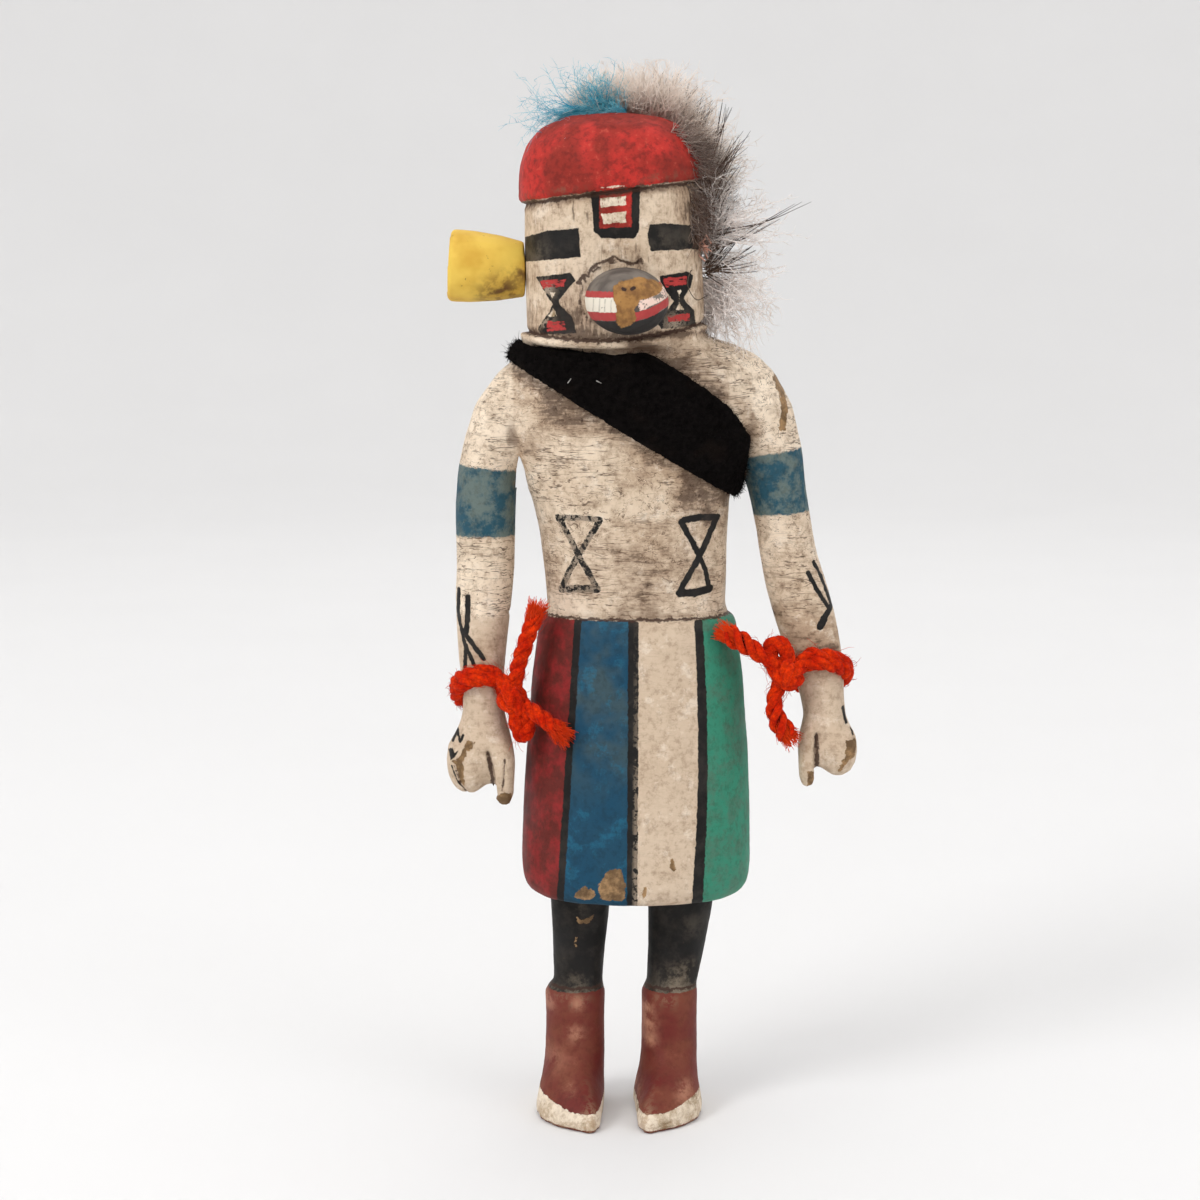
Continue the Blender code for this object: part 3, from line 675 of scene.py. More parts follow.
def drawChest(p):
    front = p[:, 1] + 7
    dry = anyOf(
        stroke(p, 1.4, (-17.7, 156.3), (-12.2, 156.4), (-7.2, 156.1)),
        stroke(p, 1.45, (-17.7, 156.4), (-14.5, 150.7), (-12.7, 147.0), (-10.2, 142.8), (-8.0, 138.6)),
        stroke(p, 1.45, (-7.2, 156.0), (-10.2, 150.9), (-12.7, 146.7), (-15.0, 142.5), (-16.8, 137.9)),
        stroke(p, 2.0, (-16.8, 138.0), (-8.0, 138.5)),
    )
    solid = anyOf(
        stroke(p, 1.75, (13.7, 155.9), (17.6, 156.4), (22.2, 156.1)),
        stroke(p, 1.55, (13.0, 155.6), (17.8, 146.6)),
        stroke(p, 1.2, (17.8, 146.6), (19.3, 142.9), (20.2, 138.2)),
        stroke(p, 1.6, (21.9, 155.6), (17.8, 146.6), (12.5, 137.5)),
        stroke(p, 2.0, (12.8, 137.5), (16.6, 137.3), (20.4, 138.1)),
    )
    return within(dry, front), within(solid, front)


def drawArms(p):
    front = p[:, 1] + 3
    return within(anyOf(
        stroke(p, 1.0, (-43.0, 137.2), (-43.3, 131.4), (-42.2, 127.1), (-40.1, 124.8), (-36.5, 120.1)),
        stroke(p, 1.4, (-40.6, 135.5), (-40.6, 131.8), (-41.1, 126.7)),
        stroke(p, 1.3, (-42.2, 127.1), (-40.1, 124.8), (-36.7, 120.3)),
        stroke(p, 1.0, (-43.0, 130.7), (-41.6, 124.1), (-39.0, 118.6)),
        stroke(p, 1.0, (-41.1, 123.4), (-41.4, 117.6)),
        stroke(p, 0.9, (46.9, 144.2), (48.6, 141.0), (50.5, 136.4), (51.5, 133.4)),
        stroke(p, 1.1, (45.4, 141.6), (47.7, 137.4), (50.6, 132.8)),
        stroke(p, 1.5, (51.4, 132.8), (50.0, 130.8), (48.3, 128.0)),
        stroke(p, 2.1, (49.4, 129.9), (48.6, 128.5)),
        within(stroke(p, 0.7, (-44.6, 99.1), (-43.4, 101.8), (-42.6, 99.2), (-41.9, 100.8)), p[:, 1] + 8),
        within(area(p, (-45.6, 97.0), (-44.9, 94.6), (-43.9, 95.4), (-42.8, 97.4), (-43.9, 96.6),
                    (-44.4, 97.8)), p[:, 1] + 8),
        stroke(p, 0.45, (-44.7, 93.3), (-43.3, 89.6), (-41.2, 86.8)),
        within(stroke(p, 0.9, (54.4, 107.6), (55.2, 103.8)), p[:, 1] + 9),
        within(stroke(p, 0.7, (56.7, 102.4), (56.9, 100.8)), p[:, 1] + 10),
    ), front)


handGrooves = (
    # route in (x, z), width and depth
    (((-35.6, 96.6), (-35.0, 93.6), (-34.5, 90.0), (-34.2, 85.6)), 1.2, 1.3),
    (((-31.2, 95.0), (-31.5, 90.0), (-31.9, 87.2)), 0.5, 0.35),
    (((47.6, 101.0), (47.7, 96.2), (47.9, 93.0), (48.8, 88.6)), 1.3, 1.4),
    (((-44.0, 93.4), (-42.6, 89.2), (-40.8, 85.6)), 0.4, 0.3),
)


def drawChips(p):
    # where the paint is gone and the wood shows
    front = p[:, 1]
    return anyOf(
        within(area(p, (-40.8, 100.0), (-38.9, 99.2), (-39.4, 97.5), (-40.9, 97.2), (-41.7, 94.5),
                    (-41.6, 91.2), (-41.2, 87.4), (-42.6, 89.4), (-43.4, 93.2), (-44.7, 94.4),
                    (-42.2, 96.2), (-41.4, 98.6)), front + 4),
        within(area(p, (-33.6, 85.6), (-31.4, 87.0), (-29.2, 86.0), (-29.4, 84.0), (-32.2, 82.0),
                    (-33.8, 83.4)), front + 4),
        within(area(p, (54.9, 99.4), (57.6, 100.3), (57.8, 96.6), (55.5, 94.0), (53.6, 91.3), (52.8, 91.8),
                    (54.7, 95.6)), front + 10),
        within(area(p, (45.0, 92.2), (47.2, 91.6), (49.0, 90.2), (47.4, 87.6), (45.4, 87.4)), front + 4),
        within(stroke(p, 1.7, (37.2, 190.8), (38.6, 187.0), (39.2, 182.4), (38.6, 178.4)), front - 1),
        within(area(p, (-7.2, 60.2), (-7.7, 63.4), (-6.4, 66.0), (-4.7, 68.2), (-2.4, 68.1), (-1.0, 65.6),
                    (-0.7, 62.2), (-1.6, 60.0), (-4.4, 59.8)), front + 8),
        within(area(p, (-13.6, 60.4), (-12.9, 62.2), (-11.2, 63.2), (-9.4, 62.8), (-8.4, 61.4), (-9.0, 60.0),
                    (-11.4, 59.6)), front + 8),
        within(area(p, (10.4, 68.6), (11.0, 70.6), (11.8, 68.2), (11.0, 67.4)), front + 8),
        within(area(p, (3.0, 62.0), (4.4, 63.6), (4.6, 61.4), (3.6, 60.4)), front + 8),
        within(area(p, (-13.3, 52.4), (-12.4, 51.3), (-11.2, 51.4), (-8.7, 52.6), (-8.8, 51.5), (-10.2, 50.5),
                    (-12.0, 50.4), (-13.2, 51.2)), front),
        within(stroke(p, 0.4, (-13.2, 46.6), (-13.8, 45.2), (-13.4, 44.4)), front),
    )


def stripes(p):
    region = kiltSides(p)
    edge = {name: kiltLine(p, *places) for name, places in kiltEdges.items()}
    bow = 1.2 * np.sin(np.pi * kiltShare(p))
    creamEnd = edge["creamEnd"] - bow
    greenStart = edge["greenStart"] - bow
    seam = between(p[:, 1], -1.8, 1.6)
    gaps = anyOf(within(-edge["maroonEnd"], edge["blueStart"]), within(-edge["blueEnd"], edge["creamStart"]),
                 within(-creamEnd, greenStart))
    dark = within(region, gaps - 0.15)
    dark = anyOf(dark, within(region, seam, anyOf(edge["side"] - 3, 4 - greenStart)))
    return {
        "maroon": within(region, edge["maroonEnd"] - 0.7),
        "blue": within(region, -edge["blueStart"] - 0.7, edge["blueEnd"] - 1.2),
        "green": within(region, -greenStart - 0.8),
        "black": dark,
    }


def bootRegion(p):
    return p[:, 2] - levels["bootTop"] - 0.4


def legRegion(p):
    return between(p[:, 2], levels["bootTop"] - 0.3, levels["hem"] - 0.6)


def collarLevel(p):
    # the dark line under the head, above the collar's raised lip
    return 200.7 + 0.0055 * (p[:, 0].clip(-28, 20) + 8) ** 2


def collarReach(p):
    return within(between(p[:, 0], -28, 22), between(p[:, 2], 196, 208))


def snoutRing(p):
    # distance outside the snout's root on the face
    return (np.hypot((p[:, 0] + 1.2) / 10.9, (p[:, 2] - 210.8) / 9.1) - 1) * 10


glueCrack = ((-12.6, 214.6), (-11.2, 216.4), (-9.6, 217.6), (-7.8, 219.3), (-5.4, 220.0), (-3.7, 221.0),
             (-2.4, 220.2), (-1.1, 219.7), (0.4, 219.3), (1.8, 219.5), (2.8, 220.6), (3.1, 219.2))


def crevices(p):
    # the short narrow places that have filled with dark dirt
    front = p[:, 1] + 4
    return anyOf(
        within(stroke(p, 0.7, *glueCrack), p[:, 1] + 16),
        within(abs(snoutRing(p)) - 0.3, p[:, 1] + 16, 205 - p[:, 2], p[:, 0] + 3),
        *[within(stroke(p, width * 0.8, *route), front) for route, width, _ in handGrooves])


def seamLine(p):
    # height from the nearest seam that runs round the figure: boot top, waist, collar and cap rim.
    # Its sign turns over from one seam to the next, so that it passes zero at the seams only.
    boot = p[:, 2] - levels["bootTop"] - 0.6
    waist = levels["waist"] + 0.15 - p[:, 2]
    collar = p[:, 2] - collarLevel(p) + 0.1
    rim = rimLevel(p) - 0.55 - p[:, 2]
    z = p[:, 2]
    line = np.where(z < 80, boot, np.where(z < 165, waist, 0.7 * np.where(z < 218, collar, rim)))
    arms = (abs(z - levels["waist"]) < 20) & (kiltShare(p) > 0) & ((p[:, 0] < -26.5) | (p[:, 0] > 33.5))
    line = np.where(arms, 9.0, line)
    return np.where((abs(z - 198) < 14) & (collarReach(p) > 0), 9.0, line)


def armbands(p):
    leftTop = p[:, 2] - (168.7 - (p[:, 0] + 42.1) * 0.114)
    rightTop = p[:, 2] - (171.0 + (p[:, 0] - 31) * 0.16)
    rightBottom = 155.9 + (p[:, 0] - 33.8) * 0.09 - p[:, 2]
    return anyOf(within(leftTop, 150.6 - p[:, 2], p[:, 0] + 28.0),
                 within(rightTop, rightBottom, 29.6 - p[:, 0]))


def strapSpan(p):
    # how far a point lies above the strap's lower edge, square to its slant
    shoulder, armpit = np.array([-28.1, 193.7]), np.array([28.0, 159.8])
    run = armpit - shoulder
    run = run / np.linalg.norm(run)
    rise = np.array([-run[1], run[0]])
    return (p[:, 0] - shoulder[0]) * rise[0] + (p[:, 2] - shoulder[1]) * rise[1]


def fineMarks(p):
    # the narrow marks, around which the skin is made finer
    black, red, bars = drawForehead(p)
    face, whites, roses = drawFace(p)
    dry, solid = drawChest(p)
    painted = (black, red, bars, face, whites, roses, dry, solid, drawArms(p), drawChips(p))
    grooves = [within(stroke(p, width, *route), p[:, 1] + 3) for route, width, _ in handGrooves]
    glue = within(stroke(p, 0, *glueCrack), p[:, 1] + 14)
    return anyOf(glue, *[abs(d) for d in painted], *[abs(d) for d in grooves])


def stripeMarks(p):
    collar = within(abs(p[:, 2] - collarLevel(p) + 0.7) - 1.2, collarReach(p))
    return anyOf(*[abs(d) for d in stripes(p).values()], abs(armbands(p)),
                 abs(p[:, 2] - rimLevel(p) + 0.5), abs(p[:, 2] - levels["waist"]), collar)


armpitGap = {
    "outline": ((-27.7, 171.2), (-28.35, 167.8), (-28.6, 163.0), (-25.2, 163.0), (-26.2, 167.6),
                (-27.1, 170.4)),
    "from": -16, "to": 14, "lean": (-0.03, -0.08),
}


def openArmpit(piece):
    # cuts a narrow slot between the arm and the chest, along the line of sight
    points, faces = [], []
    count = len(armpitGap["outline"])
    for y in (armpitGap["from"], armpitGap["to"]):
        for x, z in armpitGap["outline"]:
            aside, down = armpitGap["lean"]
            points.append(place(x + aside * (y + 7), y, z + down * (y + 7)))
    faces.append(list(range(count)))
    faces.append(list(range(2 * count - 1, count - 1, -1)))
    for k in range(count):
        after = (k + 1) % count
        faces.append([after, k, count + k, count + after])
    mesh = bpy.data.meshes.new("slot_cutter")
    mesh.from_pydata(points, [], faces)
    bm = bmesh.new()
    bm.from_mesh(mesh)
    bmesh.ops.recalc_face_normals(bm, faces=bm.faces)
    bm.to_mesh(mesh)
    bm.free()
    cutter = bpy.data.objects.new("slot_cutter", mesh)
    bpy.context.scene.collection.objects.link(cutter)
    cut = piece.modifiers.new("cut", "BOOLEAN")
    cut.operation = "DIFFERENCE"
    cut.object = cutter
    cut.solver = "EXACT"
    applyAll(piece)
    bpy.data.objects.remove(cutter)


def carveFigure(piece):
    # shallow knife work: grooves, cracks, chips, the crust of glue round the snout
    mesh = piece.data
    p = drawn(mesh)
    normals = meshNormals(mesh)
    depth = np.zeros(len(p))
    for route, width, deep in handGrooves:
        depth += deep * np.exp(-((stroke(p, 0, *route)) / (width * 0.62)) ** 2) * (p[:, 1] < -6)
    depth += 0.12 * np.clip(-drawChips(p) / 0.4, 0, 1)
    rim = p[:, 2] - rimLevel(p)
    head = p[:, 2] > 230
    depth += (0.9 * np.exp(-((rim + 0.95) / 0.6) ** 2) - 0.35 * np.exp(-((rim - 0.9) / 1.2) ** 2)) * head
    lip = p[:, 2] - collarLevel(p)
    lipWave = 0.9 * np.exp(-(lip / 0.55) ** 2) - 0.75 * np.exp(-((lip + 1.35) / 0.75) ** 2)
    depth += lipWave * (collarReach(p) < 0)
    depth += 0.3 * np.exp(-(stroke(p, 0, *glueCrack) / 0.3) ** 2) * (p[:, 1] < -16)
    waist = np.exp(-((p[:, 2] - levels["waist"] - 0.3) / 0.6) ** 2) * (kiltSides(p) < 1.5)
    depth += 0.35 * waist
    knife = np.array([noise.noise(Vector((x * 0.16, y * 0.16, z * 0.075))) for x, y, z in p])
    ripple = np.array([noise.noise(Vector((x * 0.5, y * 0.5, z * 0.9))) for x, y, z in p])
    crust = np.exp(-((snoutRing(p) - 0.7) / 0.7) ** 2) * (p[:, 1] < -17) * (p[:, 2] > 212)
    grit = np.array([noise.noise(Vector((x * 1.7, y * 1.7, z * 1.7))) for x, y, z in p])
    depth -= 0.18 * knife + 0.05 * ripple + crust * (0.25 + 0.6 * grit)
    standing = p[:, 2] < 0.35
    depth[standing] = 0
    moved = meshPoints(mesh) - normals * (depth * mm)[:, None]
    moved[:, 2] = np.where(standing, meshPoints(mesh)[:, 2], moved[:, 2]).clip(0)
    setPoints(mesh, moved)


# spots where the figure is painted darker
darkeningSpots = (
    # x, z, reach and strength, as in the two lists below
    (-14, 207, 5.0, 0.55), (-10, 203, 5, 0.5), (20, 231, 6, 0.85), (20, 222, 5, 0.8), (18, 212, 4, 0.45),
    (3, 203, 6, 0.45), (-25, 174, 3.4, 0.7), (-27, 186, 3, 0.4), (31, 167, 5, 0.9), (30, 178, 3.6, 1.0),
    (14, 196, 5, 0.65), (22, 190, 5, 0.2), (-19, 183, 5, 0.75), (-13, 180, 4, 0.6), (2, 168, 4, 0.5),
    (15, 161, 5, 0.75), (21, 157, 4, 0.7), (-24, 152, 4, 0.35), (-37, 122, 5, 0.6), (50, 121, 5, 0.55),
    (-40, 115, 4, 0.4), (45, 128, 6, 0.3), (27, 140, 4, 0.4), (-20, 141, 5, 0.35), (-34, 174, 4, 0.35),
    (-43, 92, 3, 0.15), (52, 102, 4, 0.15), (24, 205, 3, 0.5), (-24, 216, 3, 0.35), (-2, 222, 5, 0.25),
    (37, 172, 4, 0.3), (28, 199, 3, 0.3), (41, 176, 4, 0.2), (2.4, 5, 2.5, 0.8), (9.5, 1.5, 2.5, 0.7),
    (17, 6, 2.5, 0.7), (-11, 3, 2.0, 0.5), (-23, 230, 4, 0.35), (-24, 206, 3, 0.5), (14, 233, 5, 0.4),
    (-5, 214, 12, 0.18), (10, 144, 9, 0.28), (0, 150, 13, 0.16), (3, 137, 10, 0.22), (-37, 158, 6, 0.3),
)
wornSpots = (
    (-13, 34.5, 3.0, 0.45), (12.4, 34.6, 4.0, 0.85), (16, 38, 2.4, 0.4), (-23, 221.5, 3.5, 0.35),
    (16, 224, 4, 0.3), (8, 225, 3, 0.2), (-13, 55, 2.5, 0.25), (16, 50, 3, 0.15),
)
scuffSpots = (
    (5.0, 27.5, 1.8, 1.0), (5.2, 23.5, 2.0, 1.0), (5.8, 19.5, 1.8, 1.0), (-13.5, 21.5, 2.2, 0.8),
    (-21.0, 29, 2.4, 0.7), (-13, 29.5, 1.8, 0.8), (14.5, 8.0, 2.2, 0.8), (-15, 9, 1.2, 0.7),
    (2.6, 6.5, 1.8, 0.6), (-19, 15, 3, 0.4),
)


def drynessOn(p, dry):
    # where the brush ran dry: thin lines on the chest, parts of the face and beside one stripe
    dryness = np.clip(1 - dry / 1.2, 0, 1) * (p[:, 2] < 160) * 0.5
    dryness = np.maximum(dryness, (blot(p, -20.5, 213, 2.2) + blot(p, -21, 205, 2.4)) * 0.55)
    dryness = np.maximum(dryness, blot(p, 11, 204.5, 3.0) * 0.5)
    dryness = np.maximum(dryness, np.clip(1 - abs(kiltLine(p, 2.0, 1.8)) / 1.1, 0, 1)
                         * (kiltSides(p) < 0) * (1.1 - kiltShare(p)).clip(0, 1) * 0.6)
    return dryness.clip(0, 1)


def grimeAndShadeOn(p):
    # dirt over the body, darker spots and left arm, and painted shade with dirt beside the strap and at the
    # seams
    band = strapSpan(p)
    rim = p[:, 2] - rimLevel(p)
    chest = (between(p[:, 2], 150, 200) < 0) & (abs(p[:, 0]) < 31)
    # painted shade, with dirt, along both edges of the strap
    grimeAndShade = 0.75 * np.exp(-((band + 0.8) / 2.6) ** 2) * chest
    grimeAndShade += 0.6 * np.exp(-((band - 21.0) / 2.4) ** 2) * chest
    # painted shade, with dirt, above the kilt's top, under the collar and under the cap's rim
    grimeAndShade += 0.45 * np.exp(-((p[:, 2] - levels["waist"] - 1.0) / 1.3) ** 2) * (kiltSides(p) < 4)
    grimeAndShade += 0.8 * np.exp(-((p[:, 2] - 201.4 - 0.05 * abs(p[:, 0])) / 0.9) ** 2)
    grimeAndShade += 0.55 * np.exp(-((rim + 1.2) / 1.1) ** 2) * (p[:, 2] > 228)
    grimeAndShade += blots(p, darkeningSpots)
    body = abs(p[:, 0] + 2) < 27
    for low, high, strength in ((133, 238, 0.24), (133, 156, 0.12), (202, 238, 0.03)):
        grimeAndShade += strength * (between(p[:, 2], low, high) < 0) * body
    # darker on the outer side of the doll's left arm, above the wrist
    outward = ((p[:, 0] - 30) / 8).clip(0, 1)
    grimeAndShade += 0.40 * outward * ((168 - p[:, 2]) / 12).clip(0, 1) * ((p[:, 2] - 110) / 8).clip(0, 1)
    grimeAndShade *= 1 - 0.75 * ((legRegion(p) < 0) | ((bootRegion(p) < 0) & (p[:, 2] > 8)))
    return grimeAndShade.clip(0, 1.2)


def paintFigure(piece):
    # every mark, kind of wear and place of painted shade, as numbers that the material reads
    mesh = piece.data
    p = drawn(mesh)
    black, red, bars = drawForehead(p)
    face, whites, roses = drawFace(p)
    dry, solid = drawChest(p)
    kilt = stripes(p)
    cap = within(rimLevel(p) - p[:, 2], 229 - p[:, 2])
    soleBand = 4.6 + 2.2 * ((abs(p[:, 0] + 2.2) - 12) / 9).clip(0, 1)
    worn = blots(p, wornSpots) + 0.5 * np.exp(-((p[:, 2] - levels["bootTop"]) / 0.9) ** 2) * (p[:, 2] < 40)
    marks = {
        "red": anyOf(cap, red),
        "rose": roses,
        "maroon": kilt["maroon"],
        "blue": kilt["blue"],
        "green": kilt["green"],
        "teal": armbands(p),
        "brick": bootRegion(p),
        "black": anyOf(black, face, dry, solid, drawArms(p), kilt["black"], legRegion(p)),
        "white": anyOf(bars, whites, within(p[:, 2] - soleBand, 0.8 - p[:, 2])),
        "crevice": crevices(p),
        "seam": seamLine(p),
        "chip": drawChips(p),
        "dry": drynessOn(p, dry),
        "grimeAndShade": grimeAndShadeOn(p),
        "worn": worn.clip(0, 1),
        "scuff": blots(p, scuffSpots).clip(0, 1),
        "hollow": hollows(mesh),
    }
    for name, values in marks.items():
        keep(mesh, name, values)


class CottonwoodPaint(Finish):
    # cream paint over wood with every painted colour, its wear, its dirt and its painted shade

    def __init__(self):
        super().__init__("painted_cottonwood")
        self.big = self.cloud(24, 2)
        self.mid = self.cloud(7, 3, 0.6)
        self.mottle = self.cloud(3.0, 5, 0.74)
        self.grain = self.cloud(0.9, 4, 0.72)
        self.wobble = self.sum("SUBTRACT", self.grain, 0.5)
        self.grimeAndShade = self.kept("grimeAndShade")
        self.hollow = self.kept("hollow")
        axes = self.node("ShaderNodeSeparateXYZ")
        self.feed(axes.inputs[0], self.place)
        self.height = axes.outputs[2]
        self.onHead = self.ramp(self.height, 0.198, 0.203)
        self.onKilt = self.ramp(self.height, 0.1315, 0.1295)
        self.stain, self.deepStain = self.stains()

    def mask(self, name, soft=0.12, raggedness=1.4):
        # the inside of a painted mark, its edge made ragged by the grain
        edge = self.sum("MULTIPLY_ADD", self.wobble, raggedness, self.kept(name))
        return self.ramp(edge, soft, -soft)

    def scaled(self, value, strength):
        return self.sum("MULTIPLY", value, strength, clamp=True)

    def veils(self, colour, *layers):
        # lays colours over it, each by a noise: the noise, where it begins and is full, strength, colour
        for value, low, high, strength, over in layers:
            colour = self.mix(self.scaled(self.ramp(value, low, high), strength), colour, tint(*over))
        return colour

    def stirred(self, value, low, high, first, second):
        # two shades of one paint, changing from one to the other by a noise
        return self.mix(self.ramp(value, low, high), tint(*first), tint(*second))

    def byPlace(self, body, head):
        # one value on the body and another on the head
        made = self.node("ShaderNodeMix", data_type="FLOAT")
        for index, value in zip((0, 2, 3), (self.onHead, body, head)):
            self.feed(made.inputs[index], value)
        return made.outputs[0]

    def hairline(self, vector, half, twist):
        # thin wandering lines: where a noise passes its middle value
        middle = self.sum("SUBTRACT", self.cloud(1, 3, 0.62, vector, twist), 0.5)
        return self.ramp(self.sum("ABSOLUTE", middle), half, half * 0.2)

    def stains(self):
        # dirt where the doll was handled and tied, brushed across the body and up the face, heavier where
        # grime and painted shade lie
        brushed = self.byPlace(self.cloud(1, 4, 0.7, self.stretched(150, 150, 620), 0.6),
                               self.cloud(1, 3, 0.65, self.stretched(1100, 1100, 260)))
        dirty = self.sum("MULTIPLY_ADD", brushed, 0.55, self.sum("MULTIPLY", self.mottle, 0.45))
        return (self.ramp(self.sum("MULTIPLY_ADD", self.grimeAndShade, 0.34, dirty), 0.61, 0.82),
                self.ramp(self.sum("MULTIPLY_ADD", self.grimeAndShade, 0.28, dirty), 0.72, 0.84))

    def cracks(self):
        # cracks and knife scratches across the body, finer ones up and down on the face
        across = self.hairline(self.stretched(60, 60, 560), 0.019, 0.5)
        crazed = self.hairline(self.stretched(230, 230, 420), 0.013, 0.6)
        upTheFace = self.ramp(self.cloud(1, 2, 0.6, self.stretched(850, 850, 150)), 0.60, 0.70)
        dashes = self.ramp(self.cloud(1, 2, 0.6, self.stretched(330, 330, 1400)), 0.60, 0.68)
        here = self.ramp(self.cloud(11, 1), 0.44, 0.58)
        elsewhere = self.sum("SUBTRACT", 1.0, here)
        onBody = self.sum("MAXIMUM", self.sum("MULTIPLY", across, here),
                          self.sum("MULTIPLY", crazed, elsewhere))
        onBody = self.sum("MAXIMUM", onBody, self.sum("MULTIPLY", dashes, self.ramp(self.mid, 0.40, 0.60)))
        onBody = self.sum("MULTIPLY", onBody, self.sum("SUBTRACT", 1.0, self.scaled(self.onKilt, 0.85)))
        onFace = self.sum("MULTIPLY", upTheFace, self.ramp(self.mid, 0.40, 0.62, (0.1, 0.9)))
        return self.byPlace(onBody, onFace)

    def ground(self):
        # cream, greyer and yellower in patches, rubbed thin, cracked, stained, and darker where grime and
        # painted shade lie
        cream = self.stirred(self.big, 0.36, 0.66, (238, 221, 199), (218, 199, 175))
        cream = self.veils(cream, (self.mid, 0.42, 0.68, 0.45, (198, 175, 149)))
        cream = self.mix(self.scaled(self.onKilt, 0.75), cream, tint(196, 174, 150))
        calm = self.sum("SUBTRACT", 1.0, self.scaled(self.onKilt, 0.6))
        # darker where the grime and the painted shade lie
        cream = self.mix(self.ramp(self.grimeAndShade, 0.05, 0.75, (0.0, 0.4)), cream, tint(174, 144, 114))
        blotches = self.sum("MULTIPLY", self.ramp(self.mottle, 0.48, 0.64), calm)
        cream = self.mix(self.scaled(blotches, 0.34), cream, tint(158, 134, 108))
        cream = self.veils(cream, (self.mottle, 0.46, 0.34, 0.6, (230, 216, 198)))
        specks = self.sum("MULTIPLY", self.ramp(self.grain, 0.52, 0.70), calm)
        for share, strength, over in ((specks, 0.36, (134, 108, 86)), (self.cracks(), 0.82, (80, 60, 46)),
                                      (self.stain, 0.46, (126, 98, 74)),
                                      (self.deepStain, 0.62, (72, 50, 38))):
            cream = self.mix(self.scaled(share, strength), cream, tint(*over))
        return cream

    def shades(self):
        # the colour of each paint
        mid, mottle, grain = self.mid, self.mottle, self.grain
        red = self.stirred(mid, 0.42, 0.60, (186, 44, 36), (140, 40, 30))
        red = self.veils(red, (mottle, 0.58, 0.72, 0.35, (196, 92, 74)),
                         (mottle, 0.44, 0.32, 0.6, (112, 38, 30)))
        red = self.mix(self.scaled(self.stain, 0.7), red, tint(98, 54, 40))
        red = self.veils(red, (grain, 0.48, 0.62, 0.5, (120, 34, 28)),
                         (grain, 0.40, 0.30, 0.3, (214, 96, 78)))
        upper = self.ramp(self.height, 0.082, 0.102, (0.15, 0.9))
        faded = self.sum("MULTIPLY", self.ramp(mid, 0.38, 0.60), upper)
        blue = self.mix(faded, tint(8, 64, 90), tint(58, 78, 84))
        blue = self.veils(blue, (mottle, 0.52, 0.66, 0.45, (30, 108, 138)))
        brick = self.stirred(mid, 0.38, 0.62, (104, 36, 30), (118, 62, 46))
        brick = self.veils(brick, (mottle, 0.56, 0.68, 0.4, (140, 80, 62)))
        scuffs = self.scaled(self.kept("scuff"), self.ramp(mottle, 0.40, 0.56, (0.15, 0.95)))
        brick = self.mix(scuffs, brick, tint(186, 132, 106))
        black = self.stirred(mottle, 0.44, 0.68, (18, 16, 15), (40, 36, 32))
        wornEdge = self.sum("MULTIPLY", self.kept("worn"), self.ramp(mottle, 0.40, 0.58, (0.1, 1.0)))
        black = self.mix(wornEdge, black, tint(126, 114, 98))
        white = self.stirred(mottle, 0.46, 0.64, (228, 213, 192), (190, 169, 142))
        white = self.mix(self.scaled(self.stain, 0.9), white, tint(122, 98, 62))
        return {
            "maroon": self.stirred(mottle, 0.42, 0.64, (96, 34, 28), (138, 36, 36)),
            "blue": blue,
            "green": self.stirred(mottle, 0.40, 0.66, (50, 134, 108), (70, 116, 96)),
            "teal": self.stirred(mottle, 0.40, 0.60, (34, 76, 92), (98, 112, 108)),
            "brick": brick,
            "black": black,
            "red": red,
            "rose": tint(176, 56, 54),
            "white": white,
        }

    def layered(self):
        # the paints in the order in which they lie, each inside its own marks
        holes = self.ramp(self.grain, 0.44, 0.54)
        skipped = self.sum("SUBTRACT", 1.0, self.sum("MULTIPLY", self.kept("dry"), holes), clamp=True)
        roseStreaks = self.ramp(self.cloud(1, 2, 0.7, self.stretched(420, 420, 1700)), 0.66, 0.50)
        whiteStreaks = self.ramp(self.cloud(1, 2, 0.7, self.stretched(1800, 1800, 450)), 0.68, 0.58)
        whole = self.sum("MAXIMUM", whiteStreaks, self.sum("SUBTRACT", 1.0, self.onHead))
        marks = {
            "maroon": self.mask("maroon"),
            "blue": self.mask("blue"),
            "green": self.mask("green"),
            "teal": self.mask("teal", 0.3, 2.2),
            "brick": self.mask("brick"),
            "black": self.sum("MULTIPLY", self.mask("black", 0.1, 1.1), skipped),
            "red": self.mask("red"),
            "rose": self.sum("MULTIPLY", self.mask("rose", 0.1), roseStreaks),
            "white": self.sum("MULTIPLY", self.mask("white", 0.1), whole),
        }
        shades = self.shades()
        colour = self.ground()
        for name, mark in marks.items():
            colour = self.mix(mark, colour, shades[name])
        return colour

    def weathered(self, colour):
        # flakes lost all over, larger bare places, grit, painted shade and dirt in hollows, pepper, seams,
        # rubbed edges
        colour = self.veils(colour, (self.mottle, 0.735, 0.755, 0.75, (128, 98, 74)))
        wood = self.stirred(self.mottle, 0.36, 0.60, (168, 134, 94), (104, 80, 54))
        colour = self.mix(self.mask("chip", 0.1, 2.6), colour, wood)
        grit = self.mix(self.ramp(self.grain, 0.44, 0.66), (1, 1, 1, 1), (0.80, 0.77, 0.75, 1))
        colour = self.mix(1.0, colour, grit, "MULTIPLY")
        colour = self.mix(self.scaled(self.deepStain, 0.25), colour, tint(50, 36, 28))
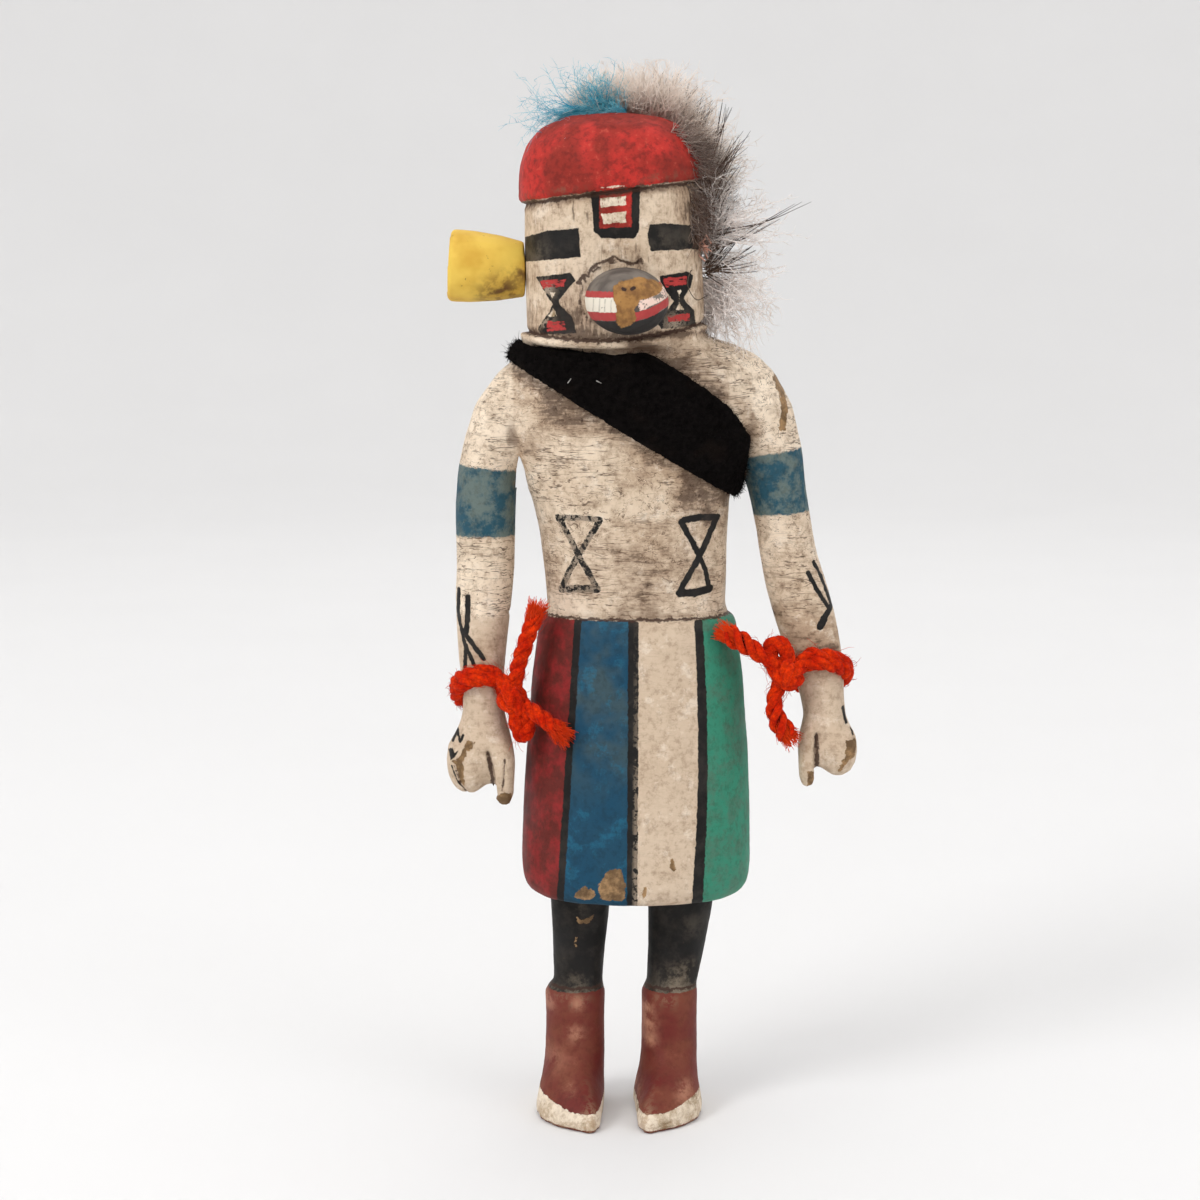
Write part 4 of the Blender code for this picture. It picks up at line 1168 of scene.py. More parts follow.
        # painted shade, with dirt, darkens the hollows
        colour = self.mix(self.ramp(self.hollow, 0.05, 0.24, (0.0, 0.62)), colour, tint(84, 60, 44))
        pepper = self.ramp(self.sum("MULTIPLY_ADD", self.grimeAndShade, 0.08, self.grain), 0.70, 0.76)
        colour = self.mix(self.scaled(pepper, 0.75), colour, tint(54, 40, 32))
        seam = self.sum("ABSOLUTE", self.sum("MULTIPLY_ADD", self.wobble, 2.2, self.kept("seam")))
        dirt = self.sum("MAXIMUM", self.ramp(seam, 0.50, 0.20), self.mask("crevice", 0.18, 1.8))
        colour = self.mix(self.scaled(dirt, 0.9), colour, tint(58, 36, 26))
        ridges = self.ramp(self.hollow, -0.22, -0.55, (0.0, 0.5))
        rub = self.sum("MULTIPLY", ridges, self.ramp(self.grain, 0.44, 0.58))
        return self.mix(rub, colour, tint(176, 146, 116))

    def painted(self):
        rough = self.ramp(self.mid, 0.3, 0.7, (0.55, 0.78))
        relief = self.sum("MULTIPLY_ADD", self.grain, 0.35, self.mottle)
        return self.done(self.weathered(self.layered()), rough, self.bump(relief, 0.6, 0.3), shine=0.25)


def makeFigure():
    made = finerCopy("carved_figure", "carved_figure_painted", figureSkin["grain"], figureSkin["softening"],
                     CottonwoodPaint().painted())
    print("figure skin", len(made.data.polygons))
    openArmpit(made)
    refine(made, lambda p: anyOf(fineMarks(p), stripeMarks(p)) < 0.95, figureSkin["markEdge"])
    refine(made, lambda p: fineMarks(p) < 0.45, figureSkin["fineEdge"])
    carveFigure(made)
    paintFigure(made)
    made.data.polygons.foreach_set("use_smooth", [True] * len(made.data.polygons))
    made.data.update()
    print("figure painted", len(made.data.polygons))
    return made


figure = makeFigure()


# the snout

snoutBuild = {
    # metres: the skin's grain; rounds of smoothing; millimetres: how deep the chipped wood lies
    "grain": 0.00035, "softening": 8, "chipDepth": 0.3,
    # heights between which each colour lies
    "reds": ((211.3, 212.8), (205.8, 207.9)), "white": (207.9, 211.3), "crumbled": (208.2, 211.8),
    "blackBelow": 205.8,
    # the teeth in x, the two dark pits, and the outline of the chipped place
    "teeth": (-8.9, -7.4, -6.1, -4.6),
    "pits": (((-1.8, 213.6), (-1.2, 213.4)), ((0.4, 213.5), (1.0, 213.8))),
    "chip": ((-4.1, 213.9), (-2.4, 215.3), (2.6, 216.2), (6.1, 215.5), (8.0, 214.0), (7.2, 212.4),
             (4.8, 211.3), (2.4, 210.8), (0.9, 208.5), (1.6, 206.5), (0.5, 204.9), (-1.9, 204.1),
             (-3.6, 205.6), (-3.1, 208.5), (-3.9, 210.8)),
}


def snoutPaint():
    finish = Finish("snout_paint")
    fine = finish.cloud(1.2, 4, 0.65)
    grain = finish.cloud(0.4, 3, 0.7)
    mid = finish.cloud(4, 3)
    wobble = finish.sum("ADD", finish.sum("MULTIPLY", finish.sum("SUBTRACT", fine, 0.5), 0.8),
                        finish.sum("MULTIPLY", finish.sum("SUBTRACT", grain, 0.5), 0.5))

    def mask(name, raggedness=1.0):
        edge = finish.sum("ADD", finish.kept(name), finish.sum("MULTIPLY", wobble, raggedness))
        return finish.ramp(edge, 0.1, -0.1)

    colour = finish.mix(finish.ramp(mid, 0.35, 0.65), tint(122, 113, 104), tint(78, 70, 65))
    colour = finish.mix(mask("black"), colour, finish.mix(fine, tint(22, 20, 20), tint(52, 48, 46)))
    colour = finish.mix(mask("red"), colour, finish.mix(fine, tint(150, 44, 46), tint(184, 74, 70)))
    colour = finish.mix(mask("white"), colour, tint(222, 214, 198))
    crumbs = finish.ramp(finish.cloud(0.9, 3, 0.7), 0.42, 0.5)
    colour = finish.mix(finish.sum("MULTIPLY", mask("crumbled", 1.6), crumbs), colour, tint(232, 204, 190))
    colour = finish.mix(finish.sum("MULTIPLY", mask("teeth", 0.4), 0.35), colour, tint(70, 60, 54))
    wood = finish.mix(finish.ramp(fine, 0.35, 0.65), tint(164, 120, 66), tint(122, 84, 46))
    chips = mask("chip", 1.5)
    colour = finish.mix(chips, colour, wood)
    colour = finish.mix(mask("pit", 1.0), colour, tint(52, 32, 24))
    pepper = finish.ramp(finish.cloud(0.7, 3, 0.7), 0.68, 0.74)
    colour = finish.mix(finish.sum("MULTIPLY", pepper, 0.6), colour, tint(60, 46, 40))
    height = finish.sum("ADD", finish.sum("MULTIPLY", fine, 0.6), finish.sum("MULTIPLY", chips, -0.9))
    return finish.done(colour, 0.68, finish.bump(height, 0.6, 0.25))


def makeSnout():
    made = finerCopy("snout", "snout_painted", snoutBuild["grain"], snoutBuild["softening"], snoutPaint())
    mesh = made.data
    p = drawn(mesh)
    # the bands climb toward the doll's left
    level = p[:, 2] - 0.12 * (p[:, 0] - 1).clip(0) ** 1.6
    chip = area(p, *snoutBuild["chip"])
    teeth = anyOf(*[stroke(p, 0.3, (x, 208.1), (x + 0.15, 211.0)) for x in snoutBuild["teeth"]])
    keep(mesh, "red", anyOf(*[between(level, *band) for band in snoutBuild["reds"]]))
    keep(mesh, "white", within(between(level, *snoutBuild["white"]), p[:, 0] + 2.8))
    keep(mesh, "crumbled", within(between(level, *snoutBuild["crumbled"]), 2.0 - p[:, 0]))
    keep(mesh, "black", level - snoutBuild["blackBelow"])
    keep(mesh, "teeth", within(teeth, p[:, 1] + 24))
    keep(mesh, "chip", within(chip, p[:, 1] + 25))
    keep(mesh, "pit", anyOf(*[stroke(p, 0.9, *pit) for pit in snoutBuild["pits"]]))
    depth = snoutBuild["chipDepth"] * np.clip(-chip / 0.6, 0, 1) * (p[:, 1] < -25)
    setPoints(mesh, meshPoints(mesh) - meshNormals(mesh) * (depth * mm)[:, None])
    print("snout", len(mesh.polygons))


makeSnout()


# the ear blossom

earBuild = {
    # metres: the skin's grain; rounds of smoothing
    "grain": 0.0004, "softening": 8,
    # x, z, reach and strength of the brown patches on the front, toward the head
    "brownPatches": ((-31, 212.5, 4.5, 1.0), (-36, 211, 3, 0.5), (-26.5, 217, 2.2, 0.8)),
}


def earPaint():
    finish = Finish("yellow_paint")
    mid = finish.cloud(5, 3)
    fine = finish.cloud(1.4, 4, 0.65)
    colour = finish.mix(finish.ramp(mid, 0.35, 0.68), tint(228, 192, 84), tint(206, 162, 60))
    # brown patches on the front, toward the head
    brownPatch = finish.sum("MULTIPLY", finish.kept("brownPatch"), finish.ramp(fine, 0.38, 0.6, (0.3, 1.0)))
    colour = finish.mix(brownPatch, colour, tint(104, 72, 34))
    pepper = finish.ramp(finish.cloud(0.8, 3, 0.7), 0.66, 0.73)
    colour = finish.mix(finish.sum("MULTIPLY", pepper, 0.6), colour, tint(96, 66, 34))
    # painted shade, with dirt, darkens the hollows
    dirt = finish.ramp(finish.kept("hollow"), 0.05, 0.4, (0.0, 0.8))
    colour = finish.mix(dirt, colour, tint(110, 80, 40))
    return finish.done(colour, 0.7, finish.bump(fine, 0.5, 0.25))


def makeEar():
    made = finerCopy("ear_blossom", "ear_blossom_painted", earBuild["grain"], earBuild["softening"],
                     earPaint())
    p = drawn(made.data)
    keep(made.data, "brownPatch", blots(p, earBuild["brownPatches"]).clip(0, 1) * (p[:, 1] < 2))
    keep(made.data, "hollow", hollows(made.data))
    print("ear", len(made.data.polygons))


makeEar()


# the shoulder strap: black wool

strapBand = {
    # metres: the skin's grain and the height of its lumps; rounds of smoothing
    "grain": 0.0007, "lumps": 0.00016, "softening": 6,
    # metres: the full width, and the way round along the middle line
    "width": 0.0208, "loop": 0.168,
    # fibres that stand off it, and the specks of pale lint in (x, z)
    "fibres": 11000, "lint": ((-14.6, 190.6), (-7.4, 190.4), (-19.6, 199.0), (29.2, 178.9), (31.5, 166.2)),
}


def strapWool():
    finish = Finish("black_wool")
    fine = finish.cloud(0.6, 4, 0.75)
    mid = finish.cloud(4, 3)
    colour = finish.mix(finish.ramp(fine, 0.3, 0.75), tint(6, 5, 5), tint(22, 19, 18))
    colour = finish.mix(finish.ramp(mid, 0.55, 0.75, (0.0, 0.3)), colour, tint(36, 27, 22))
    return finish.done(colour, 1.0, finish.bump(fine, 0.9, 0.5), shine=0.04)


def scatterOn(mesh, count, chance):
    # points on the mesh's faces, evenly over its surface, each with its normal
    mesh.calc_loop_triangles()
    triangles = mesh.loop_triangles
    sizes = [t.area for t in triangles]
    chosen = chance.choices(range(len(triangles)), weights=sizes, k=count)
    for index in chosen:
        triangle = triangles[index]
        a, b, c = (mesh.vertices[v].co for v in triangle.vertices)
        u, v = chance.random(), chance.random()
        if u + v > 1:
            u, v = 1 - u, 1 - v
        yield a + (b - a) * u + (c - a) * v, triangle.normal.copy()


def lintFinish():
    finish = Finish("lint")
    colour = finish.mix(finish.cloud(1, 2), tint(190, 186, 180), tint(225, 222, 216))
    return finish.done(colour, 0.8)


def feltStrap(strap):
    # small lumps all over the band
    points = meshPoints(strap.data)
    normals = meshNormals(strap.data)
    lumps = np.array([noise.noise(Vector(p) * 700) + 0.6 * noise.noise(Vector(p) * 1800) for p in points])
    setPoints(strap.data, points + normals * (lumps * strapBand["lumps"])[:, None])


def makeStrapFuzz(strap, material, chance):
    # short curled fibres on the outer side
    points, faces = [], []
    middle = place(0, 0, 178)
    for root, normal in scatterOn(strap.data, strapBand["fibres"], chance):
        away = root - middle
        away.z = 0
        if normal.dot(away.normalized()) < -0.1:
            continue
        lean = (normal + randomDirection(chance) * 0.9).normalized()
        reach = chance.uniform(0.0005, 0.0013) * (1.8 if chance.random() < 0.08 else 1)
        curl = randomDirection(chance) * reach * 0.5
        route = [root - normal * 0.0002, root + lean * reach * 0.55, root + lean * reach * 0.9 + curl]
        addStrand(points, faces, route, 0.00006, 0.000025)
    return newPiece("wool_strap_fuzz", points, faces, material)


def makeLint(strap, chance):
    points, faces = [], []
    for x, z in strapBand["lint"]:
        hit, at, normal, _ = strap.ray_cast(place(x, 0, z) + Vector((0, -0.1, 0)), Vector((0, 1, 0)))
        if hit:
            at = at + normal * 0.0004
            slope = Vector((chance.uniform(0.3, 1), 0, chance.uniform(-1, 1))).normalized()
            route = [at - slope * 0.0007, at + Vector((0, -0.0002, 0)), at + slope * 0.0007]
            addStrand(points, faces, route, 0.00014, 0.00008)
    return newPiece("strap_lint", points, faces, lintFinish())


def makeStrap():
    chance = random.Random(21)
    blackWool = strapWool()
    strap = finerCopy("wool_strap", "wool_strap_band", strapBand["grain"], strapBand["softening"], blackWool)
    feltStrap(strap)
    strapFuzz = makeStrapFuzz(strap, blackWool, chance)
    lint = makeLint(strap, chance)
    print("strap fuzz", len(strapFuzz.data.polygons))


makeStrap()


# fur and feathers

def hairFinish(name, low, high, tipColour, sheen=0.0):
    finish = Finish(name)
    tone = finish.kept("tone")
    colour = finish.mix(tone, low, high)
    colour = finish.mix(finish.kept("tip"), colour, tipColour)
    fine = finish.cloud(1.5, 3)
    colour = finish.mix(finish.ramp(fine, 0.4, 0.7, (0.0, 0.25)), colour, low)
    return finish.done(colour, 0.8, finish.bump(fine, 0.3, 0.1), sheen=sheen, shine=0.1)


def clamp(value, low=0.0, high=1.0):
    return max(low, min(high, value))


class Strands:
    # gathers strands into one mesh, with each strand's tone and how near its tip each point is

    def __init__(self):
        self.points, self.faces, self.tones, self.tips = [], [], [], []

    def add(self, route, root, tip, tone, dark=0.0):
        first = len(self.points)
        addStrand(self.points, self.faces, route, root, tip)
        made = len(self.points) - first
        self.tones += [tone] * made
        count = len(route)
        for k in range(count):
            share = k / (count - 1)
            self.tips += [clamp((share - 1 + dark) / max(dark, 0.01)) if dark else 0.0] * 3

    def piece(self, name, material, node, slot):
        made = newPiece(name, self.points, self.faces, material)
        keep(made.data, "tone", self.tones)
        keep(made.data, "tip", self.tips)
        if node:
            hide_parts(node)
        print(name, "triangles about", len(self.points) * 2)
        return made


def pointAlong(route, share):
    # point and direction at a share of a smooth route
    at = share * (len(route) - 1)
    k = min(int(at), len(route) - 2)
    return route[k].lerp(route[k + 1], at - k), (route[k + 1] - route[k]).normalized()


# the doll's box before its plumage is made, and how far a hair may pass it
boxLow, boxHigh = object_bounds()
boxSlack = 0.0005


def inBox(point):
    return Vector([min(max(c, low - boxSlack), high + boxSlack)
                   for c, low, high in zip(point, boxLow, boxHigh)])


crownFur = {
    # the strip's middle line in x, y and z, with half its height
    "path": ((-12.0, 6.5, 256.4, 3.6), (-6.5, 6.5, 260.6, 5.6), (1.5, 6.5, 263.4, 6.0),
             (9.5, 6.5, 262.0, 6.6), (16.4, 6.5, 256.2, 6.4), (21.0, 6.5, 248.2, 6.2),
             (22.8, 6.5, 238.6, 5.8), (22.2, 6.5, 229.8, 4.6), (20.4, 6.5, 224.4, 2.6)),
    # how many of each kind
    "locks": 150, "underfur": 5400, "closeDown": 2300, "wisps": 130, "overhang": 1500, "guardHairs": 300,
    # radii in metres at root and tip
    "fibre": (0.00009, 0.00003), "guard": (0.0001, 0.00003), "bold": (0.00017, 0.00004),
    "wisp": {"wave": 0.3, "barbules": 12, "fluff": 0.0026, "thick": 0.00009},
    # bundles of bold black hairs: start and end in (x, z), and how many
    "bundles": (((21.6, 246.0), (24.4, 258.0), 9), ((22.6, 242.0), (29.2, 250.6), 10),
                ((21.6, 232.5), (26.4, 242.4), 9), ((20.8, 238.5), (26.0, 247.5), 7),
                ((19.6, 226.5), (23.4, 236.0), 7)),
}
furRoute = smoothRoute([place(*p[:3]) for p in crownFur["path"]], 6)
furHalf = [h for *_, h in crownFur["path"]]
headMiddle = place(-1, 0, 232)


def furHalfAt(share):
    at = share * (len(furHalf) - 1)
    k = min(int(at), len(furHalf) - 2)
    return furHalf[k] + (furHalf[k + 1] - furHalf[k]) * (at - k)


def curly(root, lean, reach, wave, chance, steps=4):
    # a soft fibre that sways to one side and back as it goes
    sway = randomDirection(chance)
    sway = (sway - lean * sway.dot(lean)).normalized()
    other = lean.cross(sway)
    phase = chance.uniform(0, 2 * math.pi)
    bend = chance.uniform(0.6, 1.5)
    route = []
    for k in range(steps + 1):
        share = k / steps
        drift = math.sin(phase + share * 3.2 * bend) - math.sin(phase)
        roll = math.cos(phase * 1.7 + share * 2.6 * bend) - math.cos(phase * 1.7)
        route.append(root + lean * reach * share + (sway * drift + other * roll * 0.7) * reach * wave * share)
    return [inBox(p) for p in route]


def furGrowth(share):
    # where the fur grows at a share of the strip, which ways are forward and out, and how thick it is there
    centre, forward = pointAlong(furRoute, share)
    outward = centre - headMiddle
    outward.y = 0
    return centre, forward, outward.normalized(), furHalfAt(share) * mm


def addBarb(strands, root, lean, reach, chance, tone, down):
    # one barb of down: a curling thread with finer ones along it
    thick = down["thick"]
    route = smoothRoute(curly(root, lean, reach, down["wave"], chance, 5), 2)
    strands.add(route, thick, thick * 0.3, tone, 0.6)
    for _ in range(down["barbules"]):
        at, forward = pointAlong(route, chance.uniform(0.08, 1.0))
        side = randomDirection(chance)
        slope = (forward * chance.uniform(0.5, 1.5) + side).normalized()
        strands.add(curly(at, slope, down["fluff"] * chance.uniform(0.4, 1.2), 0.3, chance, 3),
                    thick * 0.45, thick * 0.2, tone, 0.6)


def headBelow(point, outward):
    # the place on the head below a point beside it
    hit, at, _, _ = figure.ray_cast(point + outward * 0.03, -outward)
    return at if hit else None


def growUnderfur(under, chance):
    # pale and downy, darker down the side of the head as painted shade; its fibres stand in locks, which lean
    # and end together
    locks = [(chance.random(), chance.uniform(-1, 1), chance.gauss(0, 0.6), chance.gauss(0, 0.5),
              chance.uniform(0.5, 1.15)) for _ in range(crownFur["locks"])]
    for _ in range(crownFur["underfur"]):
        lockShare, lockAcross, lockAhead, lockAside, lockReach = chance.choice(locks)
        share = clamp(lockShare + chance.gauss(0, 0.02))
        across = clamp(lockAcross + chance.gauss(0, 0.18), -1, 1)
        centre, forward, outward, half = furGrowth(share)
        down = max(0.0, (share - 0.48) / 0.52)
        root = centre - outward * half * chance.uniform(0.75, 1.05) + Vector((0, across * 0.0062, 0))
        lean = (outward + forward * (0.1 + lockAhead * 0.6 + 0.5 * down + chance.gauss(0, 0.2))
                + Vector((0, across * 0.3 + lockAside * 0.4 + chance.gauss(0, 0.18), 0))).normalized()
        reach = half * chance.uniform(1.05, 2.05) * lockReach * (1.0 - 0.5 * down)
        # the tone falls down the side of the head: painted shade
        tone = clamp(chance.gauss(0.95 - 1.15 * down, 0.18))
        under.add(curly(root, lean, reach, 0.22, chance, 3), *crownFur["fibre"], tone,
                  0.95 * (1 - 0.6 * down))


def growCloseDown(close, chance):
    # the pale down closest to the cap
    for _ in range(crownFur["closeDown"]):
        centre, forward, outward, half = furGrowth(chance.uniform(0.0, 0.5))
        root = headBelow(centre + Vector((0, chance.uniform(-0.009, 0.006), 0)), outward)
        if root is None:
            continue
        lean = (outward * chance.uniform(0.4, 1.0) + forward * chance.gauss(0, 0.5)
                + Vector((0, chance.gauss(-0.15, 0.3), 0))).normalized()
        close.add(curly(root, lean, chance.uniform(0.004, 0.0105), 0.3, chance, 3), *crownFur["fibre"],
                  chance.uniform(0.45, 1.0), 0.6)


def growWisps(under, chance):
    # loose wisps of down that stand out of the underfur
    for _ in range(crownFur["wisps"]):
        centre, forward, outward, half = furGrowth(chance.uniform(0.0, 0.8))
        root = centre + outward * half * chance.uniform(-0.6, 0.2)
        root = root + Vector((0, chance.uniform(-0.006, 0.003), 0))
        lean = (outward + forward * chance.gauss(-0.1, 0.6)
                + Vector((0, chance.gauss(-0.1, 0.3), 0))).normalized()
        reach = half * chance.uniform(0.9, 1.7)
        addBarb(under, root, lean, reach, chance, chance.uniform(0.7, 1.0), crownFur["wisp"])


def growOverhang(close, chance):
    # fur that lies over the cap's edge and down the side of the head, made dark as painted shade
    for _ in range(crownFur["overhang"]):
        share = chance.uniform(0.46, 1.0)
        centre, forward, outward, half = furGrowth(share)
        root = headBelow(centre + Vector((0, chance.uniform(-0.0205, -0.004), 0)), outward)
        if root is None:
            continue
        lean = (outward * chance.uniform(0.15, 0.9) + forward * chance.gauss(0.55, 0.4)
                + Vector((0, chance.gauss(-0.15, 0.2), 0))).normalized()
        close.add(curly(root, lean, chance.uniform(0.003, 0.0068), 0.28, chance, 3), *crownFur["fibre"],
                  max(0, chance.gauss(0.0, 0.2) + 0.4 * max(0.0, 0.60 - share) / 0.14), 0.0)


def growGuardHairs(guard, chance):
    # long dark hairs all along the strip
    for _ in range(crownFur["guardHairs"]):
        share = chance.uniform(0.25, 1.0) ** 0.8
        centre, forward, outward, half = furGrowth(share)
        down = max(0.0, (share - 0.4) / 0.6)
        root = centre - outward * half * 0.8 + Vector((0, chance.uniform(-0.0065, 0.005), 0))
        lean = (outward * (1 - 0.35 * down) + forward * chance.gauss(-0.1 - 1.2 * down, 0.35)
                + Vector((0, chance.gauss(-0.05, 0.15), 0))).normalized()
        reach = chance.uniform(0.006, 0.011) * (1 + 0.4 * down)
        guard.add(curly(root, lean, reach, 0.1, chance), *crownFur["guard"], chance.random() * 0.6, 0.85)


def growBundles(guard, chance):
    for start, end, count in crownFur["bundles"]:
        for _ in range(count):
            first = place(start[0] + chance.gauss(0, 0.6), chance.uniform(-4, 3),
                          start[1] + chance.gauss(0, 1.6))
            last = place(end[0] + chance.gauss(0, 1.2), chance.uniform(-6, 3), end[1] + chance.gauss(0, 1.8))
            bow = randomDirection(chance) * 0.0007
            route = smoothRoute([first, first.lerp(last, 0.5) + bow, last], 3)
            guard.add([inBox(q) for q in route], *crownFur["bold"], 0.0, 1.0)


def makeCrownFur():
    chance = random.Random(5)
    under, close, guard = Strands(), Strands(), Strands()
    growUnderfur(under, chance)
    growCloseDown(close, chance)
    growWisps(under, chance)
    growOverhang(close, chance)
    growGuardHairs(guard, chance)
    growBundles(guard, chance)
    # the fur's dark tone is painted shade down the side of the head and over the cap's edge
    furFinish = hairFinish("grey_fur", tint(84, 56, 39), tint(252, 230, 212), tint(255, 242, 230), 0.3)
    guardFinish = hairFinish("guard_hair", tint(120, 100, 88), tint(206, 190, 178), tint(22, 18, 18))
    under.piece("crown_underfur", furFinish, "crown_fur", "grey_fur")
    close.piece("crown_close_fur", furFinish, None, "grey_fur")
    guard.piece("crown_guard_hairs", guardFinish, None, "grey_fur")


blueDown = {
    # a tuft that streams along a path: its fibres, and in millimetres its width and their reach
    "path": ((-0.5, -4.6, 256.0), (-6.0, -4.8, 256.8), (-12.0, -5.0, 256.6), (-16.0, -5.0, 255.4)),
    "fibres": 1100, "width": 1.2, "reach": 4.0, "wave": 0.3, "spread": 0.9, "thick": 0.00006,
    # middle of the roots, their spread, angles, lengths, how many barbs and how blue
    "fans": (((-12.0, 257.0), 3.0, (158, 186), (9, 16), 26, 0.35),
             ((-13.0, 256.0), 2.5, (184, 205), (8, 15), 20, 0.35),
             ((-7.0, 258.0), 3.5, (95, 140), (6, 12), 30, 0.5),
             ((-6.0, 257.6), 5.0, (60, 150), (4, 8), 34, 0.8)),
    "barb": {"wave": 0.34, "barbules": 13, "fluff": 0.0024, "thick": 0.00009},
}


def growTuft(strands, chance):
    # down along the path, its fibres leaving it on all sides
    route = smoothRoute([place(*p) for p in blueDown["path"]], 6)
    thick = blueDown["thick"]
    for _ in range(blueDown["fibres"]):
        share = chance.random() ** 1.15
        root, forward = pointAlong(route, share)
        side = randomDirection(chance)
        side.y *= 0.5
        root = root + side * blueDown["width"] * mm * chance.random()
        lean = (forward + side * blueDown["spread"] * chance.uniform(0.2, 1.2)).normalized()
        length = blueDown["reach"] * mm * chance.uniform(0.45, 1.15) * (1.1 - 0.45 * share)
        strands.add(curly(root, lean, length, blueDown["wave"], chance), thick, thick * 0.35,
                    chance.random(), 0.8)


def makeBlueDown():
    chance = random.Random(11)
    strands = Strands()
    growTuft(strands, chance)
    for (x, z), spread, angles, lengths, count, tone in blueDown["fans"]:
        for _ in range(count):
            angle = math.radians(chance.uniform(*angles))
            root = place(x + chance.gauss(0, spread * 0.5), -4.8 + chance.gauss(0, 0.8),
                         z + chance.gauss(0, 0.6))
            lean = Vector((math.cos(angle), chance.gauss(0, 0.25), math.sin(angle))).normalized()
            reach = chance.uniform(*lengths) * mm
            addBarb(strands, root, lean, reach, chance, clamp(chance.gauss(tone, 0.2)), blueDown["barb"])
    finish = hairFinish("blue_down", tint(14, 142, 180), tint(104, 192, 208), tint(150, 214, 226))
    strands.piece("crown_blue_down", finish, "blue_feather", "blue_down")


sideFeathers = {
    # middle of the roots, their spread, angles, lengths and how many barbs
    "fans": (((19.2, 223.6), 2.6, (26, 66), (12, 21), 62), ((18.8, 218.6), 3.0, (-12, 34), (8, 18), 34),
             ((18.5, 213.0), 3.6, (-62, -8), (10, 19), 72), ((18.0, 209.6), 3.0, (-80, -36), (6, 13), 34)),
    "barb": {"wave": 0.38, "barbules": 15, "fluff": 0.0034, "thick": 0.00019},
    # bold dark hairs: start and end in (x, z), and how many
    "bold": (((19.6, 217.6), (25.4, 229.6), 6), ((19.8, 217.6), (27.4, 226.0), 7),
             ((20.0, 217.4), (30.2, 223.6), 7), ((20.2, 216.8), (31.8, 218.4), 4),
             ((22.0, 226.6), (44.2, 234.6), 3), ((19.4, 218.0), (22.6, 230.6), 5),
             ((20.6, 222.6), (36.0, 229.6), 3), ((19.4, 216.2), (27.0, 213.6), 3)),
    "quills": 9,
    # one thin hair that curls forward over the cheek
    "curl": ((17.6, -9.0, 218.6), (15.2, -15.0, 217.4), (14.4, -17.4, 213.8), (16.6, -15.2, 210.4),
             (19.6, -9.0, 211.4)),
}


def growPaleDown(pale, chance):
    for (x, z), spread, angles, lengths, count in sideFeathers["fans"]:
        for _ in range(count):
            angle = math.radians(chance.uniform(*angles))
            root = place(x + chance.gauss(0, 0.7), -3.6 + chance.gauss(0, 1.1),
                         z + chance.gauss(0, spread * 0.5))
            lean = Vector((math.cos(angle), chance.gauss(0, 0.2), math.sin(angle))).normalized()
            reach = chance.uniform(*lengths) * mm
            addBarb(pale, root, lean, reach, chance, 0.4 + 0.6 * chance.random(), sideFeathers["barb"])


def growDarkHairs(dark, chance):
    for start, end, count in sideFeathers["bold"]:
        for _ in range(count):
            first = place(start[0] + chance.gauss(0, 0.4), -5.4 + chance.gauss(0, 0.7),
                          start[1] + chance.gauss(0, 0.8))
            last = place(end[0] + chance.gauss(0, 1.0), -4.6 + chance.gauss(0, 1.6),
                         end[1] + chance.gauss(0, 1.0))
            bow = Vector((0, 0, -0.05 * (last - first).length)) + randomDirection(chance) * 0.0004
            route = smoothRoute([first, first.lerp(last, 0.5) + bow, last], 3)
            dark.add([inBox(q) for q in route], 0.00022, 0.00005, 0.0, 1.0)
    for _ in range(sideFeathers["quills"]):
        # cut quills, pale at the root
        first = place(17.4 + chance.gauss(0, 0.5), -9.6 + chance.gauss(0, 0.5), 222.6 + chance.gauss(0, 1.2))
        middle = first + Vector((0.0009, -0.0008, chance.gauss(0, 0.0006)))
        last = first + Vector((0.0022, -0.0006, chance.gauss(-0.0004, 0.0010)))
        dark.add([first, middle, last], 0.00028, 0.00020, 1.0, 0.0)
    curl = smoothRoute([Vector(q) for q in sideFeathers["curl"]], 4)
    dark.add([place(*p) for p in curl], 0.00017, 0.00010, 0.0, 1.0)


def makeSideFeathers():
    chance = random.Random(31)
    pale, dark = Strands(), Strands()
    growPaleDown(pale, chance)
    growDarkHairs(dark, chance)
    paleFinish = hairFinish("pale_down", tint(222, 206, 196), tint(252, 240, 233), tint(255, 250, 246), 0.45)
    darkFinish = hairFinish("dark_quill", tint(110, 92, 80), tint(214, 160, 140), tint(14, 12, 12))
    pale.piece("side_pale_down", paleFinish, "side_feathers", "pale_down")
    dark.piece("side_dark_hairs", darkFinish, None, "pale_down")


makeCrownFur()
makeBlueDown()
makeSideFeathers()


# floor and light

paper = {
    # metres: the flat part, the radius of the curve behind it and the top; linear colours
    "flat": 1.6, "curve": 1.4, "top": 3.4, "low": (0.773, 0.768, 0.766, 1), "high": (0.793, 0.788, 0.786, 1),
}
lamps = {
    # place, width and power
    "key_light": ((-0.95, -0.9, 1.05), 0.6, 9.5),
    "fill_light": ((1.1, -0.8, 0.7), 0.9, 3.2),
    "back_light": ((0.2, 1.2, 1.3), 0.9, 2.6),
}
skyStrength = 1.25


def paperFinish():
    finish = Finish("pale_paper")
    fleck = finish.cloud(60, 1)
    return finish.done(finish.mix(fleck, paper["low"], paper["high"]), 0.9, shine=0.1)


